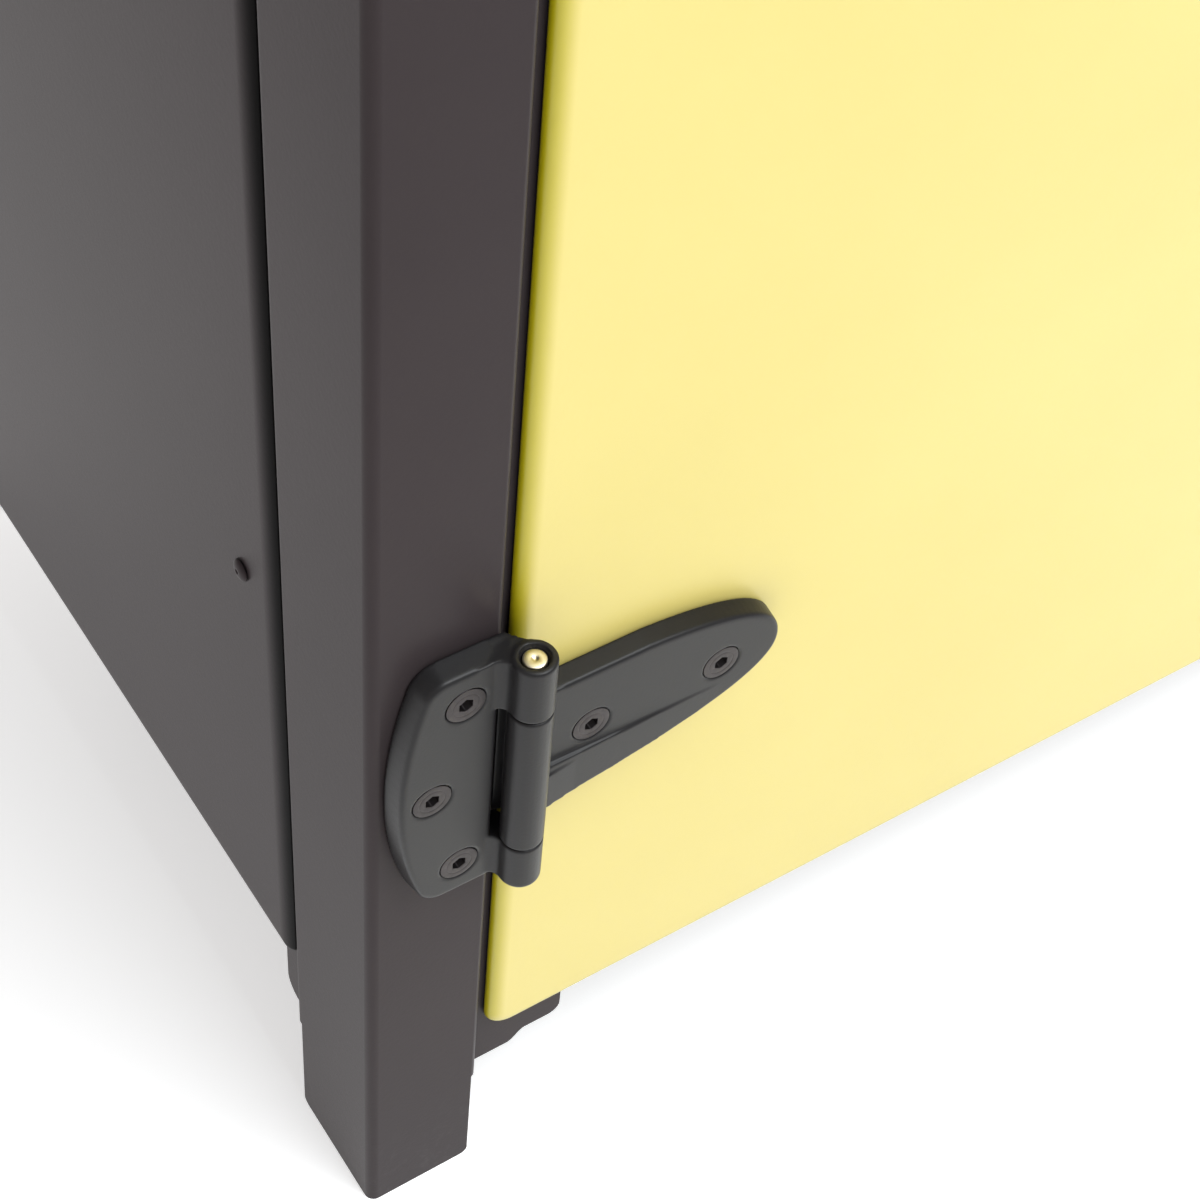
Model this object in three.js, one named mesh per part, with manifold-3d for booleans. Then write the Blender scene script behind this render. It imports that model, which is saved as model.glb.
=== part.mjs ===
// Free-standing sheet-steel mailbox: four folded corner posts that end as legs, riveted pan panels,
// a flush front door on two strap hinges with a lever, cam and two locking rods, and a mail slot
// with a sprung flap above it.
//
// Design frame, in millimetres: X runs right from the left face, Y runs back from the front face,
// Z runs up from the ground. The finished group is moved so that its origin is at the middle of the
// base of its bounding box.

import * as THREE from 'three';
import { mergeVertices } from 'three/addons/utils/BufferGeometryUtils.js';
import Module from 'manifold-3d';

const wasm = await Module();
wasm.setup();

// Overall sizes
const width = 500;
const depth = 400;
const postHeight = 1150;

// Gaps
const seat = 0.3;
const doorGap = 4;
const panelGap = 3.5;
const runningGap = 0.5;

// Sheet
const frameSheet = 1.5;
const panelSheet = 1.2;
const foldRadius = 1.5;

// Corner posts and the legs below them
const postFront = 40;
const postSide = 48.5;
const postBend = 3.5;
const legFront = 38;
const legSide = 45.5;
const rebateRecess = 5;
const rebateReach = 35;
const sideRecess = 3.5;
const sideReach = 31.5;
const flangeBottom = 50.5;
const rebateStepAcross = 17;
const rebateStepUp = 4.5;
const rebateCorner = 4.5;
const sideToeReach = 12.5;
const sideToeRadius = 8;
const panelBottom = 82;
const footThickness = 4;
const anchorHoleRadius = 4.5;

// Panels
const panelEdgeRadius = 3;
const panelCorner = 4;
const rivetInset = 18;
const rivetHeadRadius = 3.5;
const rivetShankRadius = 1.6;
const rivetHeadHeight = 1.6;
const rivetRows = 3;
const lowestRivet = 174;

// Floor and ceiling trays, rails, roof
const trayHeight = 20;
const floorLevel = 84;
const railDepth = 35;
const railFace = 32;
const railBottom = 80;
const roofSkirt = 24;
const roofSide = 8;
const roofFront = 46;
const roofBack = 8;
const roofFrontRise = 30;
const roofBackRise = 14;
const roofSlip = 1;

// Door
const doorBottom = 72.5;
const headerHeight = 229.5;
const doorEdge = 4;
const doorCorner = 9;
const doorEdgeRadius = 3;
const linerInset = 35;
const linerDepth = 18;
const gasketInset = 6;
const gasketWidth = 11;

// Hinges
const hingeInset = 158;
const hingeAxisY = -12;
const barrelRadius = 6.3;
const barrelHalf = 50;
const middleHalf = 28.8;
const knuckleGap = 0.4;
const hingePinRadius = 3.4;
const pinRecess = 1.2;
const pinRecessRadius = 4.3;
const leafThickness = 8;
const frameLeafReach = 38;
const frameLeafBulge = 142;
const frameLeafCorner = 9;
const frameLeafDraft = 1;
const frameLeafFillet = 1.2;
const frameLeafSlot = 1.7;
const frameScrewPitch = 36;
const frameScrewX = 17.6;
const frameScrewMiddleX = 27;
const doorLeafTipX = 87.4;
const doorLeafTipRadius = 13;
const doorLeafTop = 23.7;
const doorLeafBottom = 27.8;
const doorLeafFlat = 7.2;
const doorLeafBand = 8.9;
const doorLeafStep = 8.4;
const doorScrewX = 24.3;
const doorScrewPitch = 43.8;

// Countersunk screws
const screwHeadRadius = 6;
const screwShankRadius = 3;
const screwGrip = 3.6;
const frameScrewGrip = 8;
const socketAcross = 4;
const socketDepth = 2.4;
const headSink = 0.2;

// Lock
const lockInset = 63;
const spindleSize = 7;
const camScrewRadius = 2;
const hubRadius = 18;
const hubFront = 30;
const bossRadius = 12;
const leverLength = 100;
const leverThickness = 13;
const escutcheonThickness = 6;
const cylinderRadius = 8;
const crankRadius = 16;
const crankPinRadius = 2.5;
const rodWidth = 12;
const rodThickness = 3;
const rodPlane = 21;
const rodRestGap = 3;
const camThickness = 3;
const camRadius = 23;
const tongueReach = 46;
const tongueWidth = 18;
const guideInset = 88;

// Mail slot
const slotDrop = 110;
const throatWidth = 330;
const throatHeight = 38;
const throatWall = 1.6;
const throatDepth = 14;
const bezelBorder = 28;
const bezelThickness = 10;
const bezelFloor = 3;
const bezelCorner = 10;
const recessBorder = 10;
const flapThickness = 2.4;
const flapRodRadius = 1.5;
const flapBarrelRadius = 3;
const flapAxisUp = 26;
const springGap = 26;
const springTurns = 6;
const springWireRadius = 0.5;
const chuteUpstand = 12;
const chuteRun = 216;
const chuteFall = 136;
const chuteLip = 20;
const chuteInset = 84;
const plateWidth = 96;
const plateHeight = 26;

// Sizes worked out from the ones above
const panelTop = postHeight - doorGap;
const doorTop = panelTop - headerHeight - doorGap;
const rebateEnd = postFront + rebateReach;
const sideEnd = postSide + sideReach;
const doorLeft = postFront + doorGap;
const doorRight = width - doorLeft;
const hingeAxisX = postFront + doorGap / 2;
const hingeHeights = { lower: doorBottom + hingeInset, upper: doorTop - hingeInset };
const lockX = doorRight - lockInset;
const lockZ = (doorBottom + doorTop) / 2;
const lintelBottom = doorTop - railFace;
const sillTop = railBottom + railFace;
const crankOffset = crankRadius * Math.SQRT1_2;
const rodOffset = (crankRadius + crankOffset) / 2;
const slotX = width / 2;
const slotZ = postHeight - slotDrop;
const bezelWidth = throatWidth + 2 * bezelBorder;
const bezelHeight = throatHeight + 2 * bezelBorder - 8;
const flapAxisY = -seat - bezelFloor - flapBarrelRadius - springWireRadius - seat;

const halfTurn = Math.PI;
const quarterTurn = Math.PI / 2;

// ---------------------------------------------------------------- materials

function finish(color, roughness, metalness) {
  return new THREE.MeshStandardMaterial({ color, roughness, metalness });
}

const greyCoat = finish('#4b484a', 0.55, 0.1);
const yellowCoat = finish('#fbee8f', 0.5, 0.05);
const blackMoulding = finish('#333336', 0.6, 0.05);
const darkScrew = finish('#5d5759', 0.45, 0.8);
const yellowZinc = finish('#dfd4b7', 0.4, 0.8);
const brightZinc = finish('#b4b6b8', 0.4, 0.9);
const rubber = finish('#1d1d1f', 0.85, 0);
const nickel = finish('#c3c4c6', 0.25, 1);

// ---------------------------------------------------------------- solids

// A closed three.js geometry as a solid that can be joined and cut.
function solid(geometry) {
  const bare = geometry.clone();
  bare.deleteAttribute('normal');
  bare.deleteAttribute('uv');
  const merged = mergeVertices(bare, 1e-4);
  return new wasm.Manifold(new wasm.Mesh({
    numProp: 3,
    vertProperties: new Float32Array(merged.attributes.position.array),
    triVerts: new Uint32Array(merged.index.array),
  }));
}

// The solid's surface as a three.js geometry.
function surface(shape) {
  const mesh = shape.getMesh();
  const geometry = new THREE.BufferGeometry();
  geometry.setAttribute('position', new THREE.BufferAttribute(mesh.vertProperties, 3));
  geometry.setIndex(new THREE.BufferAttribute(mesh.triVerts, 1));
  const flat = geometry.toNonIndexed();
  flat.computeVertexNormals();
  return flat;
}

// The solid reflected in the plane where the coordinate of that index has the given value.
function mirrored(shape, index, plane) {
  const mesh = shape.getMesh();
  const vertProperties = mesh.vertProperties.map((value, i) => (
    i % 3 === index ? 2 * plane - value : value));
  const triVerts = mesh.triVerts.slice().reverse();
  return new wasm.Manifold(new wasm.Mesh({ numProp: 3, vertProperties, triVerts }));
}

function moved(shape, x, y, z) {
  return solid(surface(shape).translate(x, y, z));
}

const acrossX = (shape) => mirrored(shape, 0, width / 2);
const acrossY = (shape) => mirrored(shape, 1, depth / 2);
const joined = (...shapes) => shapes.reduce((sum, shape) => sum.add(shape));
const cut = (shape, ...tools) => tools.reduce((rest, tool) => rest.subtract(tool), shape);

function block([x0, x1], [y0, y1], [z0, z1]) {
  const box = new THREE.BoxGeometry(x1 - x0, y1 - y0, z1 - z0);
  return solid(box.translate((x0 + x1) / 2, (y0 + y1) / 2, (z0 + z1) / 2));
}

// Local frames for outlines: the outline's u and v and the normal w that it is carried along.
const planes = {
  x: new THREE.Matrix4().makeBasis(
    new THREE.Vector3(0, 1, 0), new THREE.Vector3(0, 0, 1), new THREE.Vector3(1, 0, 0)),
  y: new THREE.Matrix4().makeBasis(
    new THREE.Vector3(1, 0, 0), new THREE.Vector3(0, 0, 1), new THREE.Vector3(0, -1, 0)),
  z: new THREE.Matrix4(),
};

// A prism of an outline along an axis: along x the outline is (Y, Z), along y (X, Z), along z (X, Y).
function prism(axis, shape, [from, to], curveSegments = 6) {
  const geometry = new THREE.ExtrudeGeometry(shape, {
    depth: to - from, bevelEnabled: false, curveSegments,
  });
  geometry.translate(0, 0, axis === 'y' ? -to : from);
  return solid(geometry.applyMatrix4(planes[axis]));
}

// A body of revolution: the profile is [radius, height] pairs that start and end on the axis.
function turned(axis, profile, [x, y, z], segments = 24) {
  const lathe = new THREE.LatheGeometry(profile.map(([r, h]) => new THREE.Vector2(r, h)), segments);
  if (axis === 'y') lathe.rotateX(halfTurn);
  if (axis === 'z') lathe.rotateX(quarterTurn);
  if (axis === 'x') lathe.rotateZ(-quarterTurn);
  return solid(lathe.translate(x, y, z));
}

function rod(axis, radius, centre, [from, to], segments = 24) {
  const shape = new THREE.Shape().absarc(centre[0], centre[1], radius, 0, 2 * halfTurn);
  return prism(axis, shape, [from, to], segments / 2);
}

function polygon(points) {
  return new THREE.Shape(points.map(([u, v]) => new THREE.Vector2(u, v)));
}

function roundedRectangle([u0, u1], [v0, v1], radius) {
  const shape = new THREE.Shape();
  shape.absarc(u1 - radius, v0 + radius, radius, -quarterTurn, 0);
  shape.absarc(u1 - radius, v1 - radius, radius, 0, quarterTurn);
  shape.absarc(u0 + radius, v1 - radius, radius, quarterTurn, halfTurn);
  shape.absarc(u0 + radius, v0 + radius, radius, halfTurn, 3 * quarterTurn);
  return shape;
}

// A closed skin over outlines stacked along an axis. Each layer is { w, points } with the same
// number of points, in order of rising w; on the y plane w runs towards the viewer at the front.
function stacked(axis, layers) {
  const count = layers[0].points.length;
  const positions = layers.flatMap(({ w, points }) => points.flatMap((p) => [p.x, p.y, w]));
  const caps = THREE.ShapeUtils.triangulateShape(layers[0].points, []);
  const top = (layers.length - 1) * count;
  const triangles = [];
  for (const [a, b, c] of caps) {
    triangles.push(c, b, a, top + a, top + b, top + c);
  }
  for (let k = 0; k < top; k += count) {
    for (let i = 0; i < count; i += 1) {
      const j = (i + 1) % count;
      triangles.push(k + i, k + j, k + count + j, k + i, k + count + j, k + count + i);
    }
  }
  const geometry = new THREE.BufferGeometry();
  geometry.setAttribute('position', new THREE.Float32BufferAttribute(positions, 3));
  geometry.setIndex(triangles);
  return solid(geometry.applyMatrix4(planes[axis]));
}

// Heights and insets of a quarter-round edge that ends at the front face.
function roundEdge(front, radius, steps = 2) {
  return Array.from({ length: steps + 1 }, (_, k) => {
    const angle = (k / steps) * quarterTurn;
    return { w: front - radius + radius * Math.sin(angle), inset: radius * (1 - Math.cos(angle)) };
  });
}

// A pan of folded sheet with its face to the front at Y 0, its returns behind it, and soft edges.
function pan([x0, x1], [z0, z1], { corner, edge, sheet, returns }) {
  const outline = (inset) => roundedRectangle(
    [x0 + inset, x1 - inset], [z0 + inset, z1 - inset], corner - inset).getPoints(3);
  const rim = roundEdge(0, edge).map(({ w, inset }) => ({ w, points: outline(inset) }));
  const skin = stacked('y', [{ w: -returns, points: outline(0) }, ...rim]);
  const hollow = roundedRectangle([x0 + sheet, x1 - sheet], [z0 + sheet, z1 - sheet], corner - sheet);
  return cut(skin, prism('y', hollow, [sheet, returns + 1], 3));
}

// The outline of a folded sheet. Its mid line goes through corners of [u, v, bend radius].
function foldedSheet(corners, sheet, bendSteps = 3) {
  const at = (i) => new THREE.Vector2(corners[i][0], corners[i][1]);
  const leftOf = (direction) => new THREE.Vector2(-direction.y, direction.x);
  const near = [];
  const far = [];
  const add = (point, direction) => {
    const side = leftOf(direction).multiplyScalar(sheet / 2);
    near.push(point.clone().add(side));
    far.unshift(point.clone().sub(side));
  };
  const last = corners.length - 1;
  add(at(0), at(1).sub(at(0)).normalize());
  for (let i = 1; i < last; i += 1) {
    const before = at(i).sub(at(i - 1)).normalize();
    const after = at(i + 1).sub(at(i)).normalize();
    const turn = Math.atan2(before.cross(after), before.dot(after));
    const radius = corners[i][2] * Math.sign(turn);
    const start = at(i).addScaledVector(before, -radius * Math.tan(turn / 2));
    const centre = start.addScaledVector(leftOf(before), radius);
    for (let k = 0; k <= bendSteps; k += 1) {
      const direction = before.clone().rotateAround(new THREE.Vector2(), (turn * k) / bendSteps);
      add(centre.clone().addScaledVector(leftOf(direction), -radius), direction);
    }
  }
  add(at(last), at(last).sub(at(last - 1)).normalize());
  return new THREE.Shape([...near, ...far]);
}

// ---------------------------------------------------------------- frame

// The front left post. Its two flanges are stepped back, and are cut away over the leg.
function cornerPost(screwHoles) {
  const mid = frameSheet / 2;
  const section = foldedSheet([
    [rebateEnd, rebateRecess + mid],
    [postFront - mid, rebateRecess + mid, foldRadius],
    [postFront - mid, mid, foldRadius],
    [mid, mid, postBend - mid],
    [mid, postSide - mid, foldRadius],
    [sideRecess + mid, postSide - mid, foldRadius],
    [sideRecess + mid, sideEnd],
  ], frameSheet);
  const bottom = flangeBottom;
  const stepStart = postFront + rebateStepAcross;
  const frontNotch = new THREE.Shape()
    .moveTo(legFront, -1)
    .lineTo(rebateEnd + 1, -1)
    .lineTo(rebateEnd + 1, bottom + rebateStepUp + rebateCorner)
    .lineTo(rebateEnd, bottom + rebateStepUp + rebateCorner)
    .absarc(rebateEnd - rebateCorner, bottom + rebateStepUp + rebateCorner, rebateCorner,
      0, -quarterTurn, true)
    .lineTo(stepStart + rebateStepUp, bottom + rebateStepUp)
    .bezierCurveTo(stepStart, bottom + rebateStepUp, stepStart + rebateStepUp / 2, bottom,
      stepStart - rebateStepUp / 2, bottom)
    .lineTo(legFront, bottom);
  const toe = postSide + sideToeReach;
  const sideNotch = new THREE.Shape()
    .moveTo(legSide, -1)
    .lineTo(sideEnd + 1, -1)
    .lineTo(sideEnd + 1, panelBottom)
    .lineTo(toe, panelBottom)
    .absarc(toe - sideToeRadius, bottom + sideToeRadius, sideToeRadius, 0, -quarterTurn, true)
    .lineTo(legSide, bottom);
  return cut(
    prism('z', section, [0, postHeight]),
    prism('y', frontNotch, [-1, rebateRecess + 2 * frameSheet]),
    prism('x', sideNotch, [-1, sideRecess + 2 * frameSheet]),
    ...screwHoles,
  );
}

// A plate in the foot of the front left leg, with a hole for a ground anchor.
function footPlate() {
  const inner = frameSheet + seat;
  const plate = block([inner, legFront - seat], [inner, legSide - seat], [0, footThickness]);
  const hole = rod('z', anchorHoleRadius, [legFront / 2, legSide / 2], [-1, footThickness + 1], 16);
  const corner = block([0, inner + postBend / 2], [0, inner + postBend / 2], [-1, footThickness + 1]);
  return cut(plate, hole, corner);
}

// A tray that fills the cabinet's plan, with its edges turned up or down.
function tray(level, up) {
  const x = [sideRecess + frameSheet + seat, width - sideRecess - frameSheet - seat];
  const y = [rebateRecess + frameSheet + seat, depth - rebateRecess - frameSheet - seat];
  const z = up ? [level, level + trayHeight] : [level - trayHeight, level];
  const shrink = ([low, high]) => [low + frameSheet, high - frameSheet];
  const hollow = up ? [level + frameSheet, level + trayHeight + 1]
    : [level - trayHeight - 1, level - frameSheet];
  return cut(block(x, y, z), block(shrink(x), shrink(y), hollow));
}

// An angle rail between the front posts. Its shelf has a hole for a locking rod.
function rail([faceBottom, faceTop], shelfLevel, holeX) {
  const mid = frameSheet / 2;
  const faceY = rebateRecess + mid;
  const farEnd = shelfLevel > (faceBottom + faceTop) / 2 ? faceBottom : faceTop;
  const section = foldedSheet([
    [rebateRecess + railDepth, shelfLevel], [faceY, shelfLevel, foldRadius], [faceY, farEnd],
  ], frameSheet);
  const halfX = rodWidth / 2 + 2 * runningGap;
  const halfY = rodThickness / 2 + 2 * runningGap;
  const hole = block([holeX - halfX, holeX + halfX], [rodPlane - halfY, rodPlane + halfY],
    [shelfLevel - frameSheet, shelfLevel + frameSheet]);
  return cut(prism('x', section, [rebateEnd + seat, width - rebateEnd - seat]), hole);
}

// The roof: a closed hood with a fall to the back and an opening that slips over the posts.
function roofCover() {
  const bottom = postHeight - roofSkirt;
  const side = (inset) => polygon([
    [-roofFront + inset, bottom + inset],
    [depth + roofBack - inset, bottom + inset],
    [depth + roofBack - inset, postHeight + roofBackRise - inset],
    [-roofFront + inset, postHeight + roofFrontRise - inset],
  ]);
  const shell = prism('x', side(0), [-roofSide, width + roofSide]);
  const hollow = prism('x', side(frameSheet), [frameSheet - roofSide, width + roofSide - frameSheet]);
  const mouth = block([-roofSlip, width + roofSlip], [-roofSlip, depth + roofSlip],
    [bottom - 1, bottom + 2 * frameSheet]);
  return cut(shell, hollow, mouth);
}

// ---------------------------------------------------------------- panels

const panelForm = { corner: panelCorner, edge: panelEdgeRadius, sheet: panelSheet };
const rivetStep = (panelTop - panelBottom - 2 * lowestRivet) / (rivetRows - 1);
const rivetHeights = Array.from({ length: rivetRows }, (_, i) => (
  panelBottom + lowestRivet + i * rivetStep));

// A pan turned from the front to face the left, so that its first coordinate runs from the back.
function facingLeft(shape) {
  return solid(surface(shape).applyMatrix4(new THREE.Matrix4().makeBasis(
    new THREE.Vector3(0, -1, 0), new THREE.Vector3(1, 0, 0), new THREE.Vector3(0, 0, 1))));
}

function sidePanel() {
  const near = postSide + panelGap;
  const blank = pan([near - depth, -near], [panelBottom, panelTop],
    { ...panelForm, returns: sideRecess - seat });
  const holes = rivetHeights.map((z) => (
    rod('x', rivetShankRadius + seat, [near + rivetInset, z], [-1, sideRecess + frameSheet + 1], 10)));
  return cut(facingLeft(blank), ...holes);
}

function backPanel() {
  const near = postFront + panelGap;
  const blank = pan([near, width - near], [panelBottom, panelTop],
    { ...panelForm, returns: rebateRecess - seat });
  return acrossY(blank);
}

// A domed blind rivet that holds the front edge of the left panel.
function panelRivet(z) {
  const head = rivetHeadRadius;
  const top = rivetHeadHeight;
  const shank = rivetShankRadius;
  const profile = [
    [0, -sideRecess - frameSheet - 1], [shank, -sideRecess - frameSheet - 1], [shank, seat],
    [head, seat], [head * 0.9, seat + top * 0.55], [head * 0.5, seat + top * 0.92], [0, seat + top],
  ];
  const turnedUp = new THREE.LatheGeometry(profile.map(([r, h]) => new THREE.Vector2(r, h)), 12);
  turnedUp.rotateZ(quarterTurn);
  return solid(turnedUp.translate(0, postSide + panelGap + rivetInset, z));
}

// ---------------------------------------------------------------- door

function doorPanel() {
  const blank = pan([doorLeft, doorRight], [doorBottom, doorTop],
    { corner: doorCorner, edge: doorEdgeRadius, sheet: panelSheet, returns: doorEdge });
  const screwHoles = Object.values(hingeHeights).flatMap((z) => [0, 1].map((i) => (
    rod('y', screwShankRadius + seat, [hingeAxisX + doorScrewX + i * doorScrewPitch, z],
      [-1, panelSheet + 1], 12))));
  const lockHole = rod('y', bossRadius + runningGap, [lockX, lockZ], [-1, panelSheet + 1], 16);
  return cut(blank, ...screwHoles, lockHole);
}

function doorLiner() {
  const x = [doorLeft + linerInset, doorRight - linerInset];
  const z = [sillTop + doorGap, lintelBottom - doorGap];
  const front = panelSheet + seat;
  const box = block(x, [front, linerDepth], z);
  const inner = ([low, high]) => [low + panelSheet, high - panelSheet];
  const hollow = block(inner(x), [front - 1, linerDepth - panelSheet], inner(z));
  const spindleHole = rod('y', spindleSize * Math.SQRT1_2 + runningGap, [lockX, lockZ],
    [linerDepth - 3, linerDepth + 1], 16);
  return cut(box, hollow, spindleHole);
}

function gasket() {
  const x = [doorLeft + gasketInset, doorRight - gasketInset];
  const z = [railBottom + gasketInset, doorTop - 2 * gasketInset];
  const y = [panelSheet + seat, rebateRecess - seat];
  const inner = ([low, high]) => [low + gasketWidth, high - gasketWidth];
  return cut(block(x, y, z), block(inner(x), [y[0] - 1, y[1] + 1], inner(z)));
}

// ---------------------------------------------------------------- hinges

const leafBack = -seat;
const slotEdge = hingeAxisX - barrelRadius - frameLeafSlot;

// The frame leaf's outline, with its bulging left side and tangent corner arcs, drawn in by inset.
function frameLeafOutline(inset) {
  const half = barrelHalf - seat;
  const centreX = hingeAxisX - frameLeafReach + frameLeafBulge;
  const cornerZ = half - frameLeafCorner;
  const toCorner = frameLeafBulge - frameLeafCorner;
  const cornerX = centreX - Math.sqrt(toCorner ** 2 - cornerZ ** 2);
  const sweep = Math.asin(cornerZ / toCorner);
  const radius = frameLeafCorner - inset;
  const shape = new THREE.Shape();
  shape.moveTo(slotEdge, inset - half);
  shape.lineTo(slotEdge, half - inset);
  shape.absarc(cornerX, cornerZ, radius, quarterTurn, halfTurn - sweep);
  shape.absarc(centreX, 0, frameLeafBulge - inset, halfTurn - sweep, halfTurn + sweep);
  shape.absarc(cornerX, -cornerZ, radius, halfTurn + sweep, 3 * quarterTurn);
  return shape.getPoints(5);
}

// The cut for a screw whose head is flush with a leaf's face.
function countersink([x, z], face) {
  const wide = screwHeadRadius + seat;
  const narrow = screwShankRadius + seat;
  const back = -leafThickness - 2;
  const mouth = 1;
  const profile = [
    [0, back], [narrow, back], [narrow, narrow - wide], [wide, 0], [wide, mouth], [0, mouth],
  ];
  return turned('y', profile, [x, -face, z]);
}

// The neck that carries a leaf's plate into its knuckle; side is -1 for the frame and 1 for the door.
function neck(side, thickness, [from, to]) {
  const x = (offset) => hingeAxisX + side * offset;
  return prism('z', polygon([
    [x(12), leafBack], [x(frameLeafSlot + 0.6), leafBack], [x(-2.4), -4.4], [x(-2), hingeAxisY],
    [x(barrelRadius - 1), hingeAxisY], [x(8.2), -thickness - 0.9], [x(12), -thickness],
  ]), [from, to]);
}

function knuckle([from, to]) {
  return rod('z', barrelRadius, [hingeAxisX, hingeAxisY], [from, to]);
}

function pinBore() {
  const axis = [hingeAxisX, hingeAxisY];
  return joined(
    rod('z', hingePinRadius + seat, axis, [-barrelHalf - 1, barrelHalf + 1], 20),
    rod('z', pinRecessRadius, axis, [barrelHalf - pinRecess, barrelHalf + 1], 20),
    rod('z', pinRecessRadius, axis, [-barrelHalf - 1, pinRecess - barrelHalf], 20),
  );
}

const frameScrews = [
  [hingeAxisX - frameScrewX, frameScrewPitch],
  [hingeAxisX - frameScrewMiddleX, 0],
  [hingeAxisX - frameScrewX, -frameScrewPitch],
];
const doorScrews = [0, 1].map((i) => [hingeAxisX + doorScrewX + i * doorScrewPitch, 0]);

function frameLeaf() {
  const front = leafThickness;
  const layers = [{ w: -leafBack, points: frameLeafOutline(0) }];
  for (const { w, inset } of roundEdge(front, frameLeafFillet)) {
    layers.push({ w, points: frameLeafOutline(frameLeafDraft + inset) });
  }
  const ends = [middleHalf + knuckleGap, barrelHalf];
  const lowEnds = [-barrelHalf, -middleHalf - knuckleGap];
  const body = joined(
    stacked('y', layers),
    neck(-1, front, [ends[0], ends[1] - seat]), knuckle(ends),
    neck(-1, front, [lowEnds[0] + seat, lowEnds[1]]), knuckle(lowEnds),
  );
  return cut(body, pinBore(), ...frameScrews.map((centre) => countersink(centre, front)));
}

// The door leaf: a strap with a rounded tip. Its upper part is a flat that carries the screws, and
// a band along its lower edge stands proud at the knuckle and runs out at the tip.
function doorLeaf() {
  const tipX = hingeAxisX + doorLeafTipX - doorLeafTipRadius;
  const rootX = hingeAxisX + barrelRadius + frameLeafSlot;
  const outline = new THREE.Shape()
    .moveTo(rootX, -doorLeafBottom)
    .quadraticCurveTo(tipX - 12, -doorLeafTop + 3, tipX + 5, -doorLeafTipRadius + 1)
    .absarc(tipX, 1, doorLeafTipRadius, -quarterTurn * 0.72, quarterTurn * 0.72)
    .quadraticCurveTo(tipX - 16, doorLeafTop - 1, rootX + 28, doorLeafTop)
    .lineTo(rootX, doorLeafTop);
  const slab = prism('y', outline, [-doorLeafBand, leafBack], 5);
  const above = block([rootX - 1, tipX + 2 * doorLeafTipRadius], [-2 * doorLeafBand, -doorLeafFlat],
    [-doorLeafStep, barrelHalf]);
  const runOut = prism('z', polygon([
    [rootX, -doorLeafBand], [tipX, -doorLeafFlat], [tipX + 30, -doorLeafFlat],
    [tipX + 30, -2 * doorLeafBand], [rootX, -2 * doorLeafBand],
  ]), [-barrelHalf, barrelHalf]);
  const middle = [-middleHalf, middleHalf];
  const body = joined(
    cut(slab, above, runOut),
    neck(1, doorLeafFlat, [-doorLeafBottom, doorLeafTop]),
    knuckle(middle),
  );
  return cut(body, pinBore(), ...doorScrews.map((centre) => countersink(centre, doorLeafFlat)));
}

function hingePin() {
  const top = barrelHalf - 0.6 * pinRecess;
  const dimple = 1;
  const profile = [
    [0, -top], [hingePinRadius - 0.5, -top], [hingePinRadius, -top + 0.5],
    [hingePinRadius, top - 0.5], [hingePinRadius - 0.5, top], [dimple, top], [0, top - dimple],
  ];
  return turned('z', profile, [hingeAxisX, hingeAxisY, 0], 20);
}

// A countersunk screw with a hexagon socket. Its head lies just under the face it sits in.
function hingeScrew(x, z, face, grip) {
  const head = -headSink;
  const profile = [
    [0, -face - grip], [screwShankRadius, -face - grip],
    [screwShankRadius, head - (screwHeadRadius - screwShankRadius)], [screwHeadRadius, head],
    [0, head],
  ];
  const body = turned('y', profile, [x, -face, z], 20);
  const hexagon = Array.from({ length: 6 }, (_, i) => {
    const reach = socketAcross / Math.sqrt(3);
    const angle = (i * halfTurn) / 3;
    return [x + reach * Math.cos(angle), z + reach * Math.sin(angle)];
  });
  return cut(body, prism('y', polygon(hexagon), [-face - 1, -face + headSink + socketDepth]));
}

// ---------------------------------------------------------------- lock

const camFront = rodPlane + rodThickness / 2 + runningGap;
const hubBack = escutcheonThickness + 2 * seat;

function escutcheon() {
  const shape = roundedRectangle([lockX - hubRadius - 8, lockX + hubRadius + 8],
    [lockZ - 45, lockZ + 45], 12);
  const plate = prism('y', shape, [-seat - escutcheonThickness, -seat], 4);
  return cut(plate, rod('y', bossRadius + runningGap, [lockX, lockZ],
    [-seat - escutcheonThickness - 1, 1]));
}

// The lever points to the left while the door is unlocked, and down once it is locked.
function lockHandle() {
  const centre = [lockX, lockZ];
  const lever = new THREE.Shape()
    .moveTo(lockX, lockZ + hubRadius * 0.7)
    .quadraticCurveTo(lockX - leverLength / 2, lockZ + 9, lockX - leverLength + 9, lockZ + 9)
    .absarc(lockX - leverLength + 9, lockZ, 9, quarterTurn, 3 * quarterTurn)
    .quadraticCurveTo(lockX - leverLength / 2, lockZ - 9, lockX, lockZ - hubRadius * 0.7);
  const half = spindleSize / 2;
  const end = camFront + camThickness + 1;
  const body = joined(
    rod('y', hubRadius, centre, [-hubFront, -hubBack], 32),
    rod('y', bossRadius, centre, [-hubBack - 1, panelSheet + 2]),
    block([lockX - half, lockX + half], [0, end], [lockZ - half, lockZ + half]),
    prism('y', lever, [-hubFront, leverThickness - hubFront], 6),
  );
  return cut(
    body,
    rod('y', cylinderRadius + seat, centre, [-hubFront - 1, -hubFront / 2]),
    rod('y', camScrewRadius + seat, centre, [end - 12, end + 1], 12),
  );
}

function keyCylinder() {
  const body = rod('y', cylinderRadius, [lockX, lockZ], [-hubFront - 1, -hubFront / 2 - seat]);
  return cut(body, block([lockX - 0.9, lockX + 0.9], [-hubFront - 2, -hubFront + 3],
    [lockZ - 4.5, lockZ + 4.5]));
}

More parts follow.
